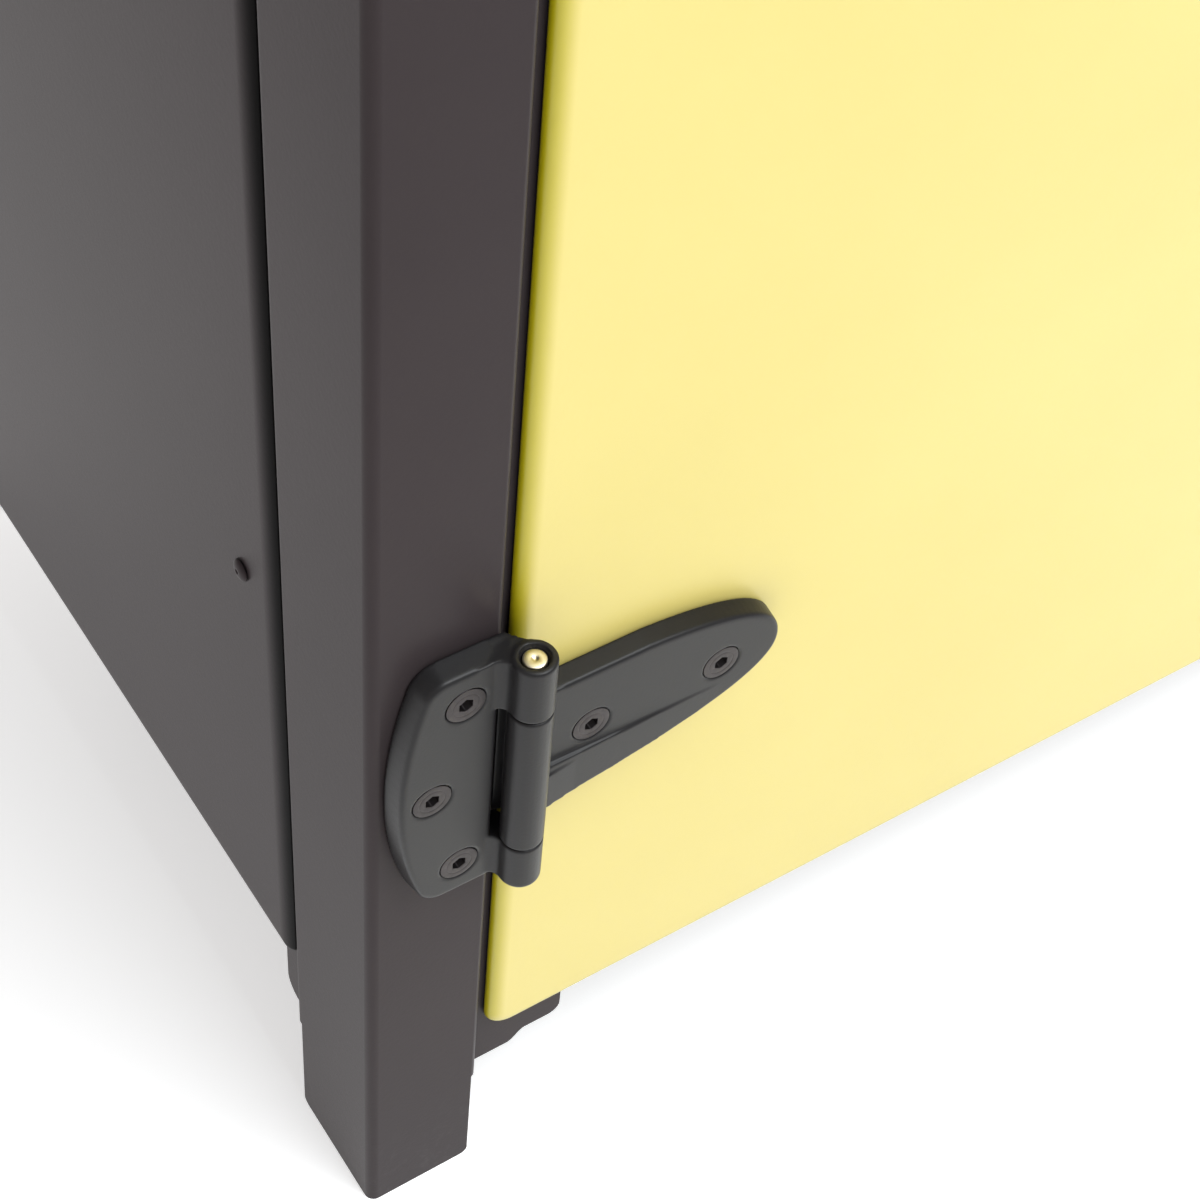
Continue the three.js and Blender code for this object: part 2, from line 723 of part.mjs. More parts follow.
// The cam plate: two crank pins for the rods and a tongue, which hangs down while unlocked.
function lockCam() {
  const y = [camFront, camFront + camThickness];
  const hole = spindleSize / 2 + seat;
  const pins = [-1, 1].map((side) => rod('y', crankPinRadius,
    [lockX - side * crankOffset, lockZ + side * crankOffset],
    [rodPlane - rodThickness / 2 - runningGap, camFront + 1], 12));
  const tongue = roundedRectangle([lockX - tongueWidth / 2, lockX + tongueWidth / 2],
    [lockZ - tongueReach, lockZ], 3);
  const plate = joined(
    rod('y', camRadius, [lockX, lockZ], y), prism('y', tongue, y, 3), ...pins);
  return cut(plate, block([lockX - hole, lockX + hole], [y[0] - 1, y[1] + 1],
    [lockZ - hole, lockZ + hole]));
}

function camScrew() {
  const face = camFront + camThickness + 1 + seat;
  return joined(
    rod('y', 6, [lockX, lockZ], [face, face + 3], 16),
    rod('y', camScrewRadius, [lockX, lockZ], [face - 9, face + 1], 12),
  );
}

// A flat locking rod with a foot whose cross slot takes a crank pin. It ends short of its rail.
function lockRod(side) {
  const y = [rodPlane - rodThickness / 2, rodPlane + rodThickness / 2];
  const x = lockX + side * rodOffset;
  const slotZc = lockZ - side * crankOffset;
  const reach = (crankRadius - crankOffset) / 2 + crankPinRadius + runningGap;
  const rise = crankPinRadius + 0.03 * crankRadius + runningGap / 2;
  const wall = 3;
  const end = side > 0 ? lintelBottom - rodRestGap : sillTop + rodRestGap;
  const z = [end, slotZc].sort((a, b) => a - b);
  const bar = block([x - rodWidth / 2, x + rodWidth / 2], y, z);
  const foot = block([x - reach - wall, x + reach + wall], y,
    [slotZc - rise - wall, slotZc + rise + wall]);
  const slot = block([x - reach, x + reach], [y[0] - 1, y[1] + 1], [slotZc - rise, slotZc + rise]);
  return cut(bar.add(foot), slot);
}

function rodGuide(side, z) {
  const x = lockX + side * rodOffset;
  const back = rodPlane + rodThickness / 2 + runningGap + 3;
  const half = rodWidth / 2 + runningGap;
  const body = block([x - half - 5, x + half + 5], [linerDepth + seat, back], [z - 8, z + 8]);
  return cut(body, block([x - half, x + half],
    [rodPlane - rodThickness / 2 - runningGap, rodPlane + rodThickness / 2 + runningGap],
    [z - 9, z + 9]));
}

// The keeper behind the right post's flange, which the tongue turns in behind.
function keeper() {
  const z = [lockZ - tongueWidth, lockZ + tongueWidth];
  const x = [width - rebateEnd + 1, width - rebateEnd + 19];
  const y = [rebateRecess + frameSheet + seat, camFront - runningGap];
  const wall = 3;
  const pocket = block([x[0] + wall, x[1] - wall], [y[0] - 1, y[1] - wall], [z[0] - 1, z[1] + 1]);
  return cut(block(x, y, z), pocket);
}

// ---------------------------------------------------------------- mail slot

const headerZ = [doorTop + doorGap, panelTop];
const throatHalf = [throatWidth / 2 + throatWall, throatHeight / 2 + throatWall];

function headerPanel() {
  const blank = pan([doorLeft, doorRight], headerZ,
    { corner: panelCorner, edge: panelEdgeRadius, sheet: panelSheet, returns: doorEdge });
  return cut(blank, block(
    [slotX - throatHalf[0] - seat, slotX + throatHalf[0] + seat], [-1, doorEdge + 1],
    [slotZ - throatHalf[1] - seat, slotZ + throatHalf[1] + seat]));
}

function slotBezel() {
  const centred = (half) => [slotX - half, slotX + half];
  const back = -seat;
  const front = back - bezelThickness;
  const face = prism('y', roundedRectangle(centred(bezelWidth / 2),
    [slotZ - bezelHeight / 2, slotZ + bezelHeight / 2], bezelCorner), [front, back], 4);
  const recess = block(centred(bezelWidth / 2 - recessBorder), [front - 1, back - bezelFloor],
    [slotZ - bezelHeight / 2 + recessBorder, slotZ + bezelHeight / 2 - recessBorder / 2]);
  const sleeve = block(centred(throatHalf[0]), [back - 1, throatDepth],
    [slotZ - throatHalf[1], slotZ + throatHalf[1]]);
  const throat = block(centred(throatWidth / 2), [front, throatDepth + 1],
    [slotZ - throatHeight / 2, slotZ + throatHeight / 2]);
  const rodHole = rod('x', flapRodRadius + seat, [flapAxisY, slotZ + flapAxisUp],
    centred(bezelWidth / 2 - recessBorder + 4), 12);
  return cut(face.add(sleeve), recess, throat, rodHole);
}

function flapRod() {
  const half = bezelWidth / 2 - recessBorder + 4 - seat;
  return rod('x', flapRodRadius, [flapAxisY, slotZ + flapAxisUp], [slotX - half, slotX + half], 12);
}

function mailFlap() {
  const half = bezelWidth / 2 - recessBorder - 1;
  const axisZ = slotZ + flapAxisUp;
  const bottom = slotZ - bezelHeight / 2 + recessBorder + 1;
  const y = [flapAxisY - flapThickness / 2, flapAxisY + flapThickness / 2];
  const plate = block([slotX - half, slotX + half], y, [bottom, axisZ]);
  const barrel = rod('x', flapBarrelRadius, [flapAxisY, axisZ], [slotX - half, slotX + half], 16);
  const grip = block([slotX - half, slotX + half], [y[0] - 2, y[1]], [bottom, bottom + 3]);
  const bore = rod('x', flapRodRadius + seat, [flapAxisY, axisZ],
    [slotX - half - 1, slotX + half + 1], 12);
  const springWindow = block([slotX - springGap / 2, slotX + springGap / 2],
    [flapAxisY - 5, flapAxisY + 5], [axisZ - 5, axisZ + 5]);
  return cut(joined(plate, barrel, grip), bore, springWindow);
}

// The torsion spring on the flap's rod: a helix of wire.
function flapSpring() {
  const coil = flapBarrelRadius;
  const length = springGap - 4;
  const stepsPerTurn = 12;
  const points = Array.from({ length: springTurns * stepsPerTurn + 1 }, (_, i) => {
    const angle = (i / stepsPerTurn) * 2 * halfTurn;
    const along = (i / (springTurns * stepsPerTurn) - 0.5) * length;
    return new THREE.Vector3(slotX + along, flapAxisY + coil * Math.cos(angle),
      slotZ + flapAxisUp + coil * Math.sin(angle));
  });
  const wire = new THREE.Shape().absarc(0, 0, springWireRadius, 0, 2 * halfTurn);
  return solid(new THREE.ExtrudeGeometry(wire, {
    extrudePath: new THREE.CatmullRomCurve3(points), steps: springTurns * stepsPerTurn, curveSegments: 3,
  }));
}

// The chute, which hangs under the slot's sleeve and drops the mail at the back, out of reach.
function mailChute() {
  const front = throatDepth / 2;
  const top = slotZ - throatHalf[1] - seat;
  const start = top - chuteUpstand;
  const section = foldedSheet([
    [front, top], [front, start, foldRadius],
    [front + chuteRun, start - chuteFall, foldRadius],
    [front + chuteRun, start - chuteFall - chuteLip],
  ], frameSheet);
  return prism('x', section, [chuteInset, width - chuteInset]);
}

function namePlate() {
  const z = (headerZ[0] + slotZ - bezelHeight / 2) / 2;
  return prism('y', roundedRectangle([slotX - plateWidth / 2, slotX + plateWidth / 2],
    [z - plateHeight / 2, z + plateHeight / 2], 4), [-seat - 1.6, -seat], 3);
}

// ---------------------------------------------------------------- assembly

const mailbox = new THREE.Group();
mailbox.position.set(-width / 2, -(depth + roofBack - roofFront) / 2, 0);

function place(name, shape, material) {
  const mesh = new THREE.Mesh(surface(shape), material);
  mesh.name = name;
  mailbox.add(mesh);
}

const hingeHoles = Object.values(hingeHeights).flatMap((height) => frameScrews.map(([x, z]) => (
  rod('y', screwShankRadius + seat, [x, height + z], [-1, frameSheet + 1], 12))));
const rivetHoles = rivetHeights.map((z) => rod('x', rivetShankRadius + seat,
  [postSide + panelGap + rivetInset, z], [0, sideRecess + frameSheet + 1], 10));
const hingedPost = cornerPost([...hingeHoles, ...rivetHoles]);
const plainPost = cornerPost(rivetHoles);
const rearPost = acrossY(cornerPost([]));
place('post_front_left', hingedPost, greyCoat);
place('post_front_right', acrossX(plainPost), greyCoat);
place('post_rear_left', rearPost, greyCoat);
place('post_rear_right', acrossX(rearPost), greyCoat);

const foot = footPlate();
place('foot_plate_front_left', foot, brightZinc);
place('foot_plate_front_right', acrossX(foot), brightZinc);
place('foot_plate_rear_left', acrossY(foot), brightZinc);
place('foot_plate_rear_right', acrossX(acrossY(foot)), brightZinc);

place('side_panel_left', sidePanel(), greyCoat);
place('side_panel_right', acrossX(sidePanel()), greyCoat);
place('back_panel', backPanel(), greyCoat);
place('floor_tray', tray(floorLevel, true), greyCoat);
place('ceiling_tray', tray(postHeight - 1, false), greyCoat);
place('roof_cover', roofCover(), greyCoat);
place('sill_rail', rail([railBottom, sillTop], sillTop - frameSheet / 2, lockX - rodOffset), greyCoat);
place('lintel_rail', rail([lintelBottom, doorTop + railFace], lintelBottom + frameSheet / 2,
  lockX + rodOffset), greyCoat);
place('door_gasket', gasket(), rubber);
place('lock_keeper', keeper(), brightZinc);
rivetHeights.forEach((z, i) => {
  const rivet = panelRivet(z);
  place(`rivet_left_${i + 1}`, rivet, darkScrew);
  place(`rivet_right_${i + 1}`, acrossX(rivet), darkScrew);
});

place('door_panel', doorPanel(), yellowCoat);
place('door_liner', doorLiner(), yellowCoat);
place('lock_escutcheon', escutcheon(), blackMoulding);
place('lock_handle', lockHandle(), blackMoulding);
place('key_cylinder', keyCylinder(), nickel);
place('lock_cam', lockCam(), brightZinc);
place('cam_screw', camScrew(), brightZinc);
place('lock_rod_upper', lockRod(1), brightZinc);
place('lock_rod_lower', lockRod(-1), brightZinc);
place('rod_guide_upper', rodGuide(1, lintelBottom - guideInset), blackMoulding);
place('rod_guide_lower', rodGuide(-1, sillTop + guideInset), blackMoulding);

for (const [end, height] of Object.entries(hingeHeights)) {
  place(`frame_leaf_${end}`, moved(frameLeaf(), 0, 0, height), blackMoulding);
  place(`door_leaf_${end}`, moved(doorLeaf(), 0, 0, height), blackMoulding);
  place(`hinge_pin_${end}`, moved(hingePin(), 0, 0, height), yellowZinc);
  frameScrews.forEach(([x, z], i) => {
    place(`frame_screw_${end}_${i + 1}`, hingeScrew(x, height + z, leafThickness, frameScrewGrip),
      darkScrew);
  });
  doorScrews.forEach(([x, z], i) => {
    place(`door_screw_${end}_${i + 1}`, hingeScrew(x, height + z, doorLeafFlat, screwGrip), darkScrew);
  });
}

place('header_panel', headerPanel(), yellowCoat);
place('slot_bezel', slotBezel(), blackMoulding);
place('flap_rod', flapRod(), brightZinc);
place('mail_flap', mailFlap(), greyCoat);
place('flap_spring', flapSpring(), brightZinc);
place('mail_chute', mailChute(), brightZinc);
place('name_plate', namePlate(), nickel);

export default mailbox;
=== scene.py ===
"""The mailbox: a steel cabinet on four folded corner posts, with a yellow door on two strap
hinges. Every piece stands where its CAD solid stands. Lengths are in millimetres from the front
left post's outer corner on the floor, X to the right, Y to the back and Z up, until a mesh is
made in the shared frame."""

import math

import bmesh
import bpy
import numpy as np
from mathutils import Matrix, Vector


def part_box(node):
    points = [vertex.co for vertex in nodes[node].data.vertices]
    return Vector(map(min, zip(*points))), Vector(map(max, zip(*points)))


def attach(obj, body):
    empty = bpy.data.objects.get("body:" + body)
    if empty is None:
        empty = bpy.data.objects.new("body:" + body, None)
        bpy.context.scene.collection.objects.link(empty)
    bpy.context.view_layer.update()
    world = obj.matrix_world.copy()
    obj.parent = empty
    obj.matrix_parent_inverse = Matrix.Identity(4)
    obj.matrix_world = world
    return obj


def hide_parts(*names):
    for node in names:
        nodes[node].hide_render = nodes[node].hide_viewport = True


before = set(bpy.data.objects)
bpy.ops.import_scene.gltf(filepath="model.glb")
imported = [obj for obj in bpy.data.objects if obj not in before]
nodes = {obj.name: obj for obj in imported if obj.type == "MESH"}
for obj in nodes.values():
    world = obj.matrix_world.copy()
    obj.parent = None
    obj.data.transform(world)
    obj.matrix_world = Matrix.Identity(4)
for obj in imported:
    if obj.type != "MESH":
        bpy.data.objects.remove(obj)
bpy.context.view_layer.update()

post_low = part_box("post_front_left")[0]
CORNER = np.array([post_low.x, post_low.y, 0.0]) * 1000


def extent(name):
    """A CAD node's lowest and highest corners, to a thousandth of a millimetre."""
    return [np.round(np.array(corner) * 1000 - CORNER, 3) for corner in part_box(name)]


def centre_of(name):
    """The middle of a CAD node's box."""
    return sum(extent(name)) / 2


def front_sides(name):
    """A CAD node's sides as seen from the front: low x, high x, low z, high z."""
    (low_x, _, low_z), (high_x, _, high_z) = extent(name)
    return low_x, high_x, low_z, high_z


# The gap between pieces that touch, the sheets, and the inner radius of a fold.
SEAT = 0.3
POST_SHEET, PANEL_SHEET, FOLD = 1.5, 1.2, 1.5

# The posts: section, leg, and the hems of the two flanges.
WIDTH, DEPTH, POST_TOP = extent("post_rear_right")[1]
POST_FRONT, POST_SIDE, POST_BEND = 40.0, 48.5, 3.5
LEG_FRONT, LEG_SIDE, LEG_CORNER = 38.0, 45.5, 3.0
REBATE_END, SIDE_END = extent("post_front_left")[1][:2]
REBATE, SIDE_RECESS, SEAM_DEPTH = 5.0, 3.5, 9.0
FLANGE_BOTTOM, STEP_START, STEP_END, STEP_UP, REBATE_CORNER = 50.5, 54.8, 61.5, 4.5, 4.5
TOE_END, TOE_RADIUS = 61.0, 8.0

# The panels and the roof.
PANEL_BOTTOM, PANEL_TOP = (corner[2] for corner in extent("side_panel_left"))
PANEL_CORNER, PANEL_EDGE, PANEL_SPREAD = 4.0, 3.0, 6.0
RIVETS = {number: centre_of(f"rivet_left_{number}") for number in (1, 2, 3)}
RIVET_HEAD, RIVET_SHANK, RIVET_RISE = 3.5, 1.6, 1.6
(ROOF_LEFT, ROOF_FRONT, ROOF_BOTTOM), (ROOF_RIGHT, ROOF_BACK, ROOF_TOP) = extent("roof_cover")
ROOF_FALL, ROOF_EDGE, ROOF_CORNER = 16.0, 4.0, 6.0

# The door and its hinges. A hinge's heights are taken from its middle.
DOOR_CORNER, DOOR_EDGE, DOOR_SPREAD, DOOR_RETURN = 9.0, 3.6, 5.6, 4.0
AXIS_X, AXIS_Y = centre_of("hinge_pin_lower")[:2]
HINGE_HEIGHTS = {place: centre_of(f"hinge_pin_{place}")[2] for place in ("lower", "upper")}
BARREL, BARREL_HALF, MIDDLE_HALF, FOOT_RISE = 6.3, 50.0, 28.8, 2.2
PIN, PIN_RECESS, PIN_RECESS_RADIUS = 3.4, 1.2, 4.3
FRAME_LEAF, DOOR_LEAF = 8.0, 7.2
LEAF_REACH, LEAF_BULGE, LEAF_CORNER, LEAF_SLOT = 38.0, 142.0, 9.0, 1.7
SCREW_HEAD, SCREW_SHANK = 6.0, 3.0

# The lock and the letter slot.
LOCK_X, _, LOCK_Z = centre_of("key_cylinder")
HUB, HUB_FRONT, LEVER, CYLINDER = 18.0, 30.0, 100.0, 8.0
SLOT_X, _, SLOT_Z = centre_of("slot_bezel")
# Half the opening behind the slot's frame, and the gap round the sleeve in it.
OPENING_X, OPENING_Z, SLEEVE_GAP = 167.0, 21.0, 0.4
_, FLAP_Y, FLAP_Z = centre_of("flap_rod")


# ------------------------------------------------------------------ forms

def grid_faces(rows, columns, wrap_rows=False, wrap_columns=False):
    """The quads of a grid: corner (r, c) joins (r, c + 1), (r + 1, c + 1) and (r + 1, c)."""
    r = np.arange(rows if wrap_rows else rows - 1)[:, None]
    c = np.arange(columns if wrap_columns else columns - 1)[None, :]
    r2, c2 = (r + 1) % rows, (c + 1) % columns
    corners = [r * columns + c, r * columns + c2, r2 * columns + c2, r2 * columns + c]
    return np.stack(corners, -1).reshape(-1, 4).tolist()


def skin(grid, wrap_rows=False, wrap_columns=False, cap_first=False, cap_last=False):
    """(points, faces) of a grid of points. A cap closes the first or last row with one face."""
    grid = np.asarray(grid, float)
    rows, columns = grid.shape[:2]
    faces = grid_faces(rows, columns, wrap_rows, wrap_columns)
    last = (rows - 1) * columns
    if cap_first:
        faces.append(list(range(columns))[::-1])
    if cap_last:
        faces.append(list(range(last, last + columns)))
    return grid.reshape(-1, 3), faces


def closed_skin(grid):
    """The skin of a grid whose rows are rings, with a cap on each end."""
    return skin(grid, wrap_columns=True, cap_first=True, cap_last=True)


def together(*forms):
    """Several (points, faces) as one."""
    starts = np.cumsum([0] + [len(points) for points, _ in forms])
    faces = [[start + i for i in face] for start, (_, some) in zip(starts, forms) for face in some]
    return np.concatenate([points for points, _ in forms]), faces


def flipped(form, axis, middle):
    """A form mirrored in the plane where that axis is middle: 2 middle minus the coordinate."""
    points = form[0].copy()
    points[:, axis] = 2 * middle - points[:, axis]
    return points, [face[::-1] for face in form[1]]


def rounded_outline(low_u, high_u, low_v, high_v, radius, steps):
    """A rounded rectangle: each corner's centre plus radius times (cos, sin) of its quarter."""
    turn = np.linspace(0, math.pi / 2, steps + 1)
    angle = (turn[None, :] + np.arange(4)[:, None] * math.pi / 2).ravel()
    u = np.repeat([high_u - radius, low_u + radius, low_u + radius, high_u - radius], steps + 1)
    v = np.repeat([high_v - radius, high_v - radius, low_v + radius, low_v + radius], steps + 1)
    return u + radius * np.cos(angle), v + radius * np.sin(angle)


FACINGS = {"front": (0, 2, 1), "left": (1, 2, 0), "up": (0, 1, 2)}


def lofted(stations, facing, steps=8):
    """A row of points for each station (low u, high u, low v, high v, corner radius, w): the
    rounded rectangle at depth w. Facing says which axes u, v and w are."""
    grid = np.empty((len(stations), 4 * (steps + 1), 3))
    axes = FACINGS[facing]
    for row, (*sides, w) in zip(grid, stations):
        row[:, axes[0]], row[:, axes[1]] = rounded_outline(*sides, steps)
        row[:, axes[2]] = w
    return grid


def inset_station(sides, corner, inset, w):
    """A station drawn in by inset, with its corner radius drawn in as much."""
    low_u, high_u, low_v, high_v = sides
    return (low_u + inset, high_u - inset, low_v + inset, high_v - inset,
            max(corner - inset, 0.4), w)


def rounding(radius, steps=6):
    """(inset, depth) of a quarter round: radius (1 - sin a) and radius (1 - cos a), a from 0 to
    90 degrees."""
    a = np.linspace(0, math.pi / 2, steps + 1)
    return np.stack([radius * (1 - np.sin(a)), radius * (1 - np.cos(a))], -1)


def pan(sides, corner, edge, spread, depth, facing):
    """A folded pan: from the middle of its face out to the rounded edge, back by depth, and in
    again a sheet's thickness behind. The round is edge deep and spread across, a quarter of an
    ellipse. The face is at w = 0."""
    sheet = PANEL_SHEET
    outer = [(spread + 9.0, 0.0), (spread + 3.0, 0.0),
             *(rounding(edge, 10) * (spread / edge, 1.0)), (0.0, depth)]
    inside = rounding(edge - sheet, 10)[::-1] * ((spread - sheet) / (edge - sheet), 1.0) + sheet
    inner = [(sheet, depth), *inside, (spread + 3.0, sheet), (spread + 9.0, sheet)]
    stations = [inset_station(sides, corner, i, w) for i, w in outer + inner]
    return closed_skin(lofted(stations, facing))


def turned(profile, centre, axis, segments=48, closed=False):
    """A profile of (radius, height) turned round an axis through centre: centre + radius
    (cos t, sin t) across and height along."""
    profile = np.asarray(profile, float)
    t = np.linspace(0, 2 * math.pi, segments, endpoint=False)
    across = [i for i in range(3) if i != axis]
    grid = np.empty((len(profile), segments, 3))
    grid[..., across[0]] = centre[across[0]] + profile[:, :1] * np.cos(t)
    grid[..., across[1]] = centre[across[1]] + profile[:, :1] * np.sin(t)
    grid[..., axis] = centre[axis] + profile[:, 1:]
    return skin(grid, wrap_rows=closed, wrap_columns=True, cap_first=not closed,
                cap_last=not closed)


def drawn_along(section, axis, low, high, end_round=0.0):
    """A closed section (a row of points across the axis) carried along it from low to high. With
    end_round, the ends are drawn in towards the section's middle by a quarter round."""
    section = np.asarray(section, float)
    across = [i for i in range(3) if i != axis]
    middle = (section.min(0) + section.max(0)) / 2
    reach = (section.max(0) - section.min(0)) / 2
    curve = rounding(end_round, 4) if end_round else np.zeros((1, 2))
    steps = [(i, low + d) for i, d in curve] + [(i, high - d) for i, d in curve[::-1]]
    grid = np.empty((len(steps), len(section), 3))
    for row, (inset, along) in zip(grid, steps):
        row[:, across] = middle + (section - middle) * (1 - inset / reach)
        row[:, axis] = along
    return closed_skin(grid)


def bent_line(corners, steps=6):
    """A line through corners (u, v, bend radius): at each bend the corner is replaced by the arc
    that touches both sides."""
    corners = [np.array(c, float) for c in corners]
    out = [corners[0][:2]]
    for before, here, after in zip(corners, corners[1:], corners[2:]):
        a = (before[:2] - here[:2]) / np.linalg.norm(before[:2] - here[:2])
        b = (after[:2] - here[:2]) / np.linalg.norm(after[:2] - here[:2])
        half = math.acos(np.clip(a @ b, -1, 1)) / 2
        middle = here[:2] + (a + b) / np.linalg.norm(a + b) * here[2] / math.sin(half)
        t = np.linspace(-1, 1, steps + 1)[:, None] * (math.pi / 2 - half)
        towards = -(a + b) / np.linalg.norm(a + b)
        side = (b - a) / np.linalg.norm(b - a)
        out.extend(middle + here[2] * (towards * np.cos(t) + side * np.sin(t)))
    out.append(corners[-1][:2])
    return np.array(out)


# ------------------------------------------------------------------ pieces

def mesh_from(name, form, solid=True):
    """A mesh in metres in the shared frame. Coincident points merge; a closed skin faces out."""
    points, faces = form
    data = bpy.data.meshes.new(name)
    data.from_pydata(((points + CORNER) / 1000).tolist(), [], faces)
    work = bmesh.new()
    work.from_mesh(data)
    bmesh.ops.remove_doubles(work, verts=work.verts, dist=2e-6)
    if solid:
        bmesh.ops.recalc_face_normals(work, faces=work.faces)
    work.to_mesh(data)
    work.free()
    data.shade_smooth()
    return data


def linked(name, data):
    """A new object in the scene, at the origin."""
    made = bpy.data.objects.new(name, data)
    bpy.context.scene.collection.objects.link(made)
    return made


def piece(name, data, body, slot, stands_for):
    """A shown piece on its body, in its slot's material, in place of its CAD nodes."""
    shown = linked(name, data)
    data.materials.clear()
    data.materials.append(MATERIALS[slot])
    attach(shown, body)
    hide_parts(*stands_for)
    return shown


def show(name, form, body, slot, *stands_for):
    """A piece straight from its form, shaded by its larger faces so that flats stay flat."""
    return keep_flat(piece(name, mesh_from(name, form), body, slot, stands_for))


def add_walls(shown, thickness):
    """Gives an open sheet its thickness, half to each side."""
    wall = shown.modifiers.new("wall", "SOLIDIFY")
    wall.thickness = thickness / 1000
    wall.offset = 0.0
    wall.use_even_offset = True


def soften(shown, width, segments=2, angle=35.0):
    """A small round on every sharp edge, with the flat faces kept flat."""
    bevel = shown.modifiers.new("edges", "BEVEL")
    bevel.width = width / 1000
    bevel.segments = segments
    bevel.limit_method = "ANGLE"
    bevel.angle_limit = math.radians(angle)
    keep_flat(shown)


def keep_flat(shown):
    """Shades by the larger faces, so that flats stay flat up to their rounds."""
    flat = shown.modifiers.new("flats", "WEIGHTED_NORMAL")
    flat.weight = 80
    flat.keep_sharp = True
    return shown


def fused(name, solids, holes, voxel, passes):
    """Overlapping solids as one casting: the holes are cut, voxels join the solids, and the
    smoothing passes leave a small fillet at every corner."""
    whole = linked(name, mesh_from(name, together(*solids)))
    tools = []
    for hole in holes:
        tool = linked(f"{name}_tool", mesh_from(f"{name}_tool", hole))
        cut = whole.modifiers.new("cut", "BOOLEAN")
        cut.operation = "DIFFERENCE"
        cut.solver = "EXACT"
        cut.use_self = True
        cut.object = tool
        tools.append(tool)
    join = whole.modifiers.new("join", "REMESH")
    join.mode = "VOXEL"
    join.voxel_size = voxel / 1000
    join.use_smooth_shade = True
    relax = whole.modifiers.new("relax", "SMOOTH")
    relax.factor = 0.5
    relax.iterations = passes
    bpy.context.view_layer.update()
    settled = whole.evaluated_get(bpy.context.evaluated_depsgraph_get())
    data = bpy.data.meshes.new_from_object(settled)
    data.name = name
    for extra in [whole, *tools]:
        old = extra.data
        bpy.data.objects.remove(extra)
        bpy.data.meshes.remove(old)
    data.shade_smooth()
    return data


def moved_copy(data, name, rise):
    """A copy of a finished mesh, rise millimetres higher."""
    copy = data.copy()
    copy.name = name
    copy.transform(Matrix.Translation((0, 0, rise / 1000)))
    return copy


# ------------------------------------------------------------------ finishes

def new_group(name, inputs, outputs):
    """An empty shader node group with named sockets: (name, kind, start value)."""
    group = bpy.data.node_groups.new(name, "ShaderNodeTree")
    for label, kind, start in inputs:
        socket = group.interface.new_socket(label, in_out="INPUT", socket_type=kind)
        if start is not None:
            socket.default_value = start
    for label, kind in outputs:
        group.interface.new_socket(label, in_out="OUTPUT", socket_type=kind)
    return group, group.nodes.new("NodeGroupInput"), group.nodes.new("NodeGroupOutput")


def node(tree, kind, links=(), **values):
    """A node in a tree with its properties and input values set, and its inputs linked."""
    made = tree.nodes.new(kind)
    for label, value in values.items():
        if label.startswith("in_"):
            key = label[3:]
            made.inputs[int(key) if key.isdigit() else key.replace("_", " ")].default_value = value
        else:
            setattr(made, label, value)
    for source, target in links:
        tree.links.new(source, made.inputs[target])
    return made


def range_of(tree, value, low, high, start=0.3, end=0.7):
    """A value between low and high, as the given one goes from start to end."""
    return node(tree, "ShaderNodeMapRange", [(value, "Value")], in_From_Min=start,
                in_From_Max=end, in_To_Min=low, in_To_Max=high).outputs["Result"]


FLOAT, VECTOR = "NodeSocketFloat", "NodeSocketVector"


def arithmetic(tree, operation, *links, **values):
    """A Math node's result."""
    return node(tree, "ShaderNodeMath", links, operation=operation, **values).outputs[0]


def vector_arithmetic(tree, operation, *links):
    """A Vector Math node's result."""
    return node(tree, "ShaderNodeVectorMath", links, operation=operation).outputs[0]


def own_place(tree):
    """The shaded point in the object's own axes."""
    return node(tree, "ShaderNodeTexCoord").outputs["Object"]


def noise(tree, where, scale, detail, roughness=0.5):
    """A noise texture's value. The scale is a number or another node's output."""
    made = node(tree, "ShaderNodeTexNoise", [(where, "Vector")], in_Detail=detail,
                in_Roughness=roughness)
    if isinstance(scale, float):
        made.inputs["Scale"].default_value = scale
    else:
        tree.links.new(scale, made.inputs["Scale"])
    return made.outputs["Fac"]


def coat_texture():
    """Powder coat: orange peel a millimetre or two across, fine grain on top of it, and a slow
    drift in the film's thickness that shows as a slightly lighter or darker tone."""
    group, given, out = new_group(
        "coat_texture",
        [("Peel Size", FLOAT, 1.6), ("Grain Size", FLOAT, 0.3), ("Grain Share", FLOAT, 0.5)],
        [("Height", FLOAT), ("Drift", FLOAT), ("Grain", FLOAT)])
    where = own_place(group)
    peel_scale, grain_scale = (
        arithmetic(group, "DIVIDE", (given.outputs[label], 1), in_0=1000.0)
        for label in ("Peel Size", "Grain Size"))
    peel = noise(group, where, peel_scale, 1.0, 0.4)
    grain = noise(group, where, grain_scale, 2.0, 0.6)
    drift = noise(group, where, 7.0, 3.0, 0.55)
    share = arithmetic(group, "MULTIPLY", (grain, 0), (given.outputs["Grain Share"], 1))
    height = arithmetic(group, "ADD", (peel, 0), (share, 1))
    for source, target in ((height, "Height"), (drift, "Drift"), (grain, "Grain")):
        group.links.new(source, out.inputs[target])
    return group


def floor_scuffs():
    """Dust and light scuffs near the floor: a noise mask that fades out with height."""
    group, given, out = new_group("floor_scuffs", [("Reach", FLOAT, 0.05)], [("Mask", FLOAT)])
    where = own_place(group)
    up = node(group, "ShaderNodeSeparateXYZ", [(where, 0)]).outputs["Z"]
    low = node(group, "ShaderNodeMapRange", [(up, "Value"), (given.outputs["Reach"], "From Max")],
               in_From_Min=0.0, in_To_Min=1.0, in_To_Max=0.0).outputs["Result"]
    few = range_of(group, noise(group, where, 160.0, 5.0, 0.7), 0.0, 1.0, 0.52, 0.75)
    group.links.new(arithmetic(group, "MULTIPLY", (low, 0), (few, 1)), out.inputs["Mask"])
    return group


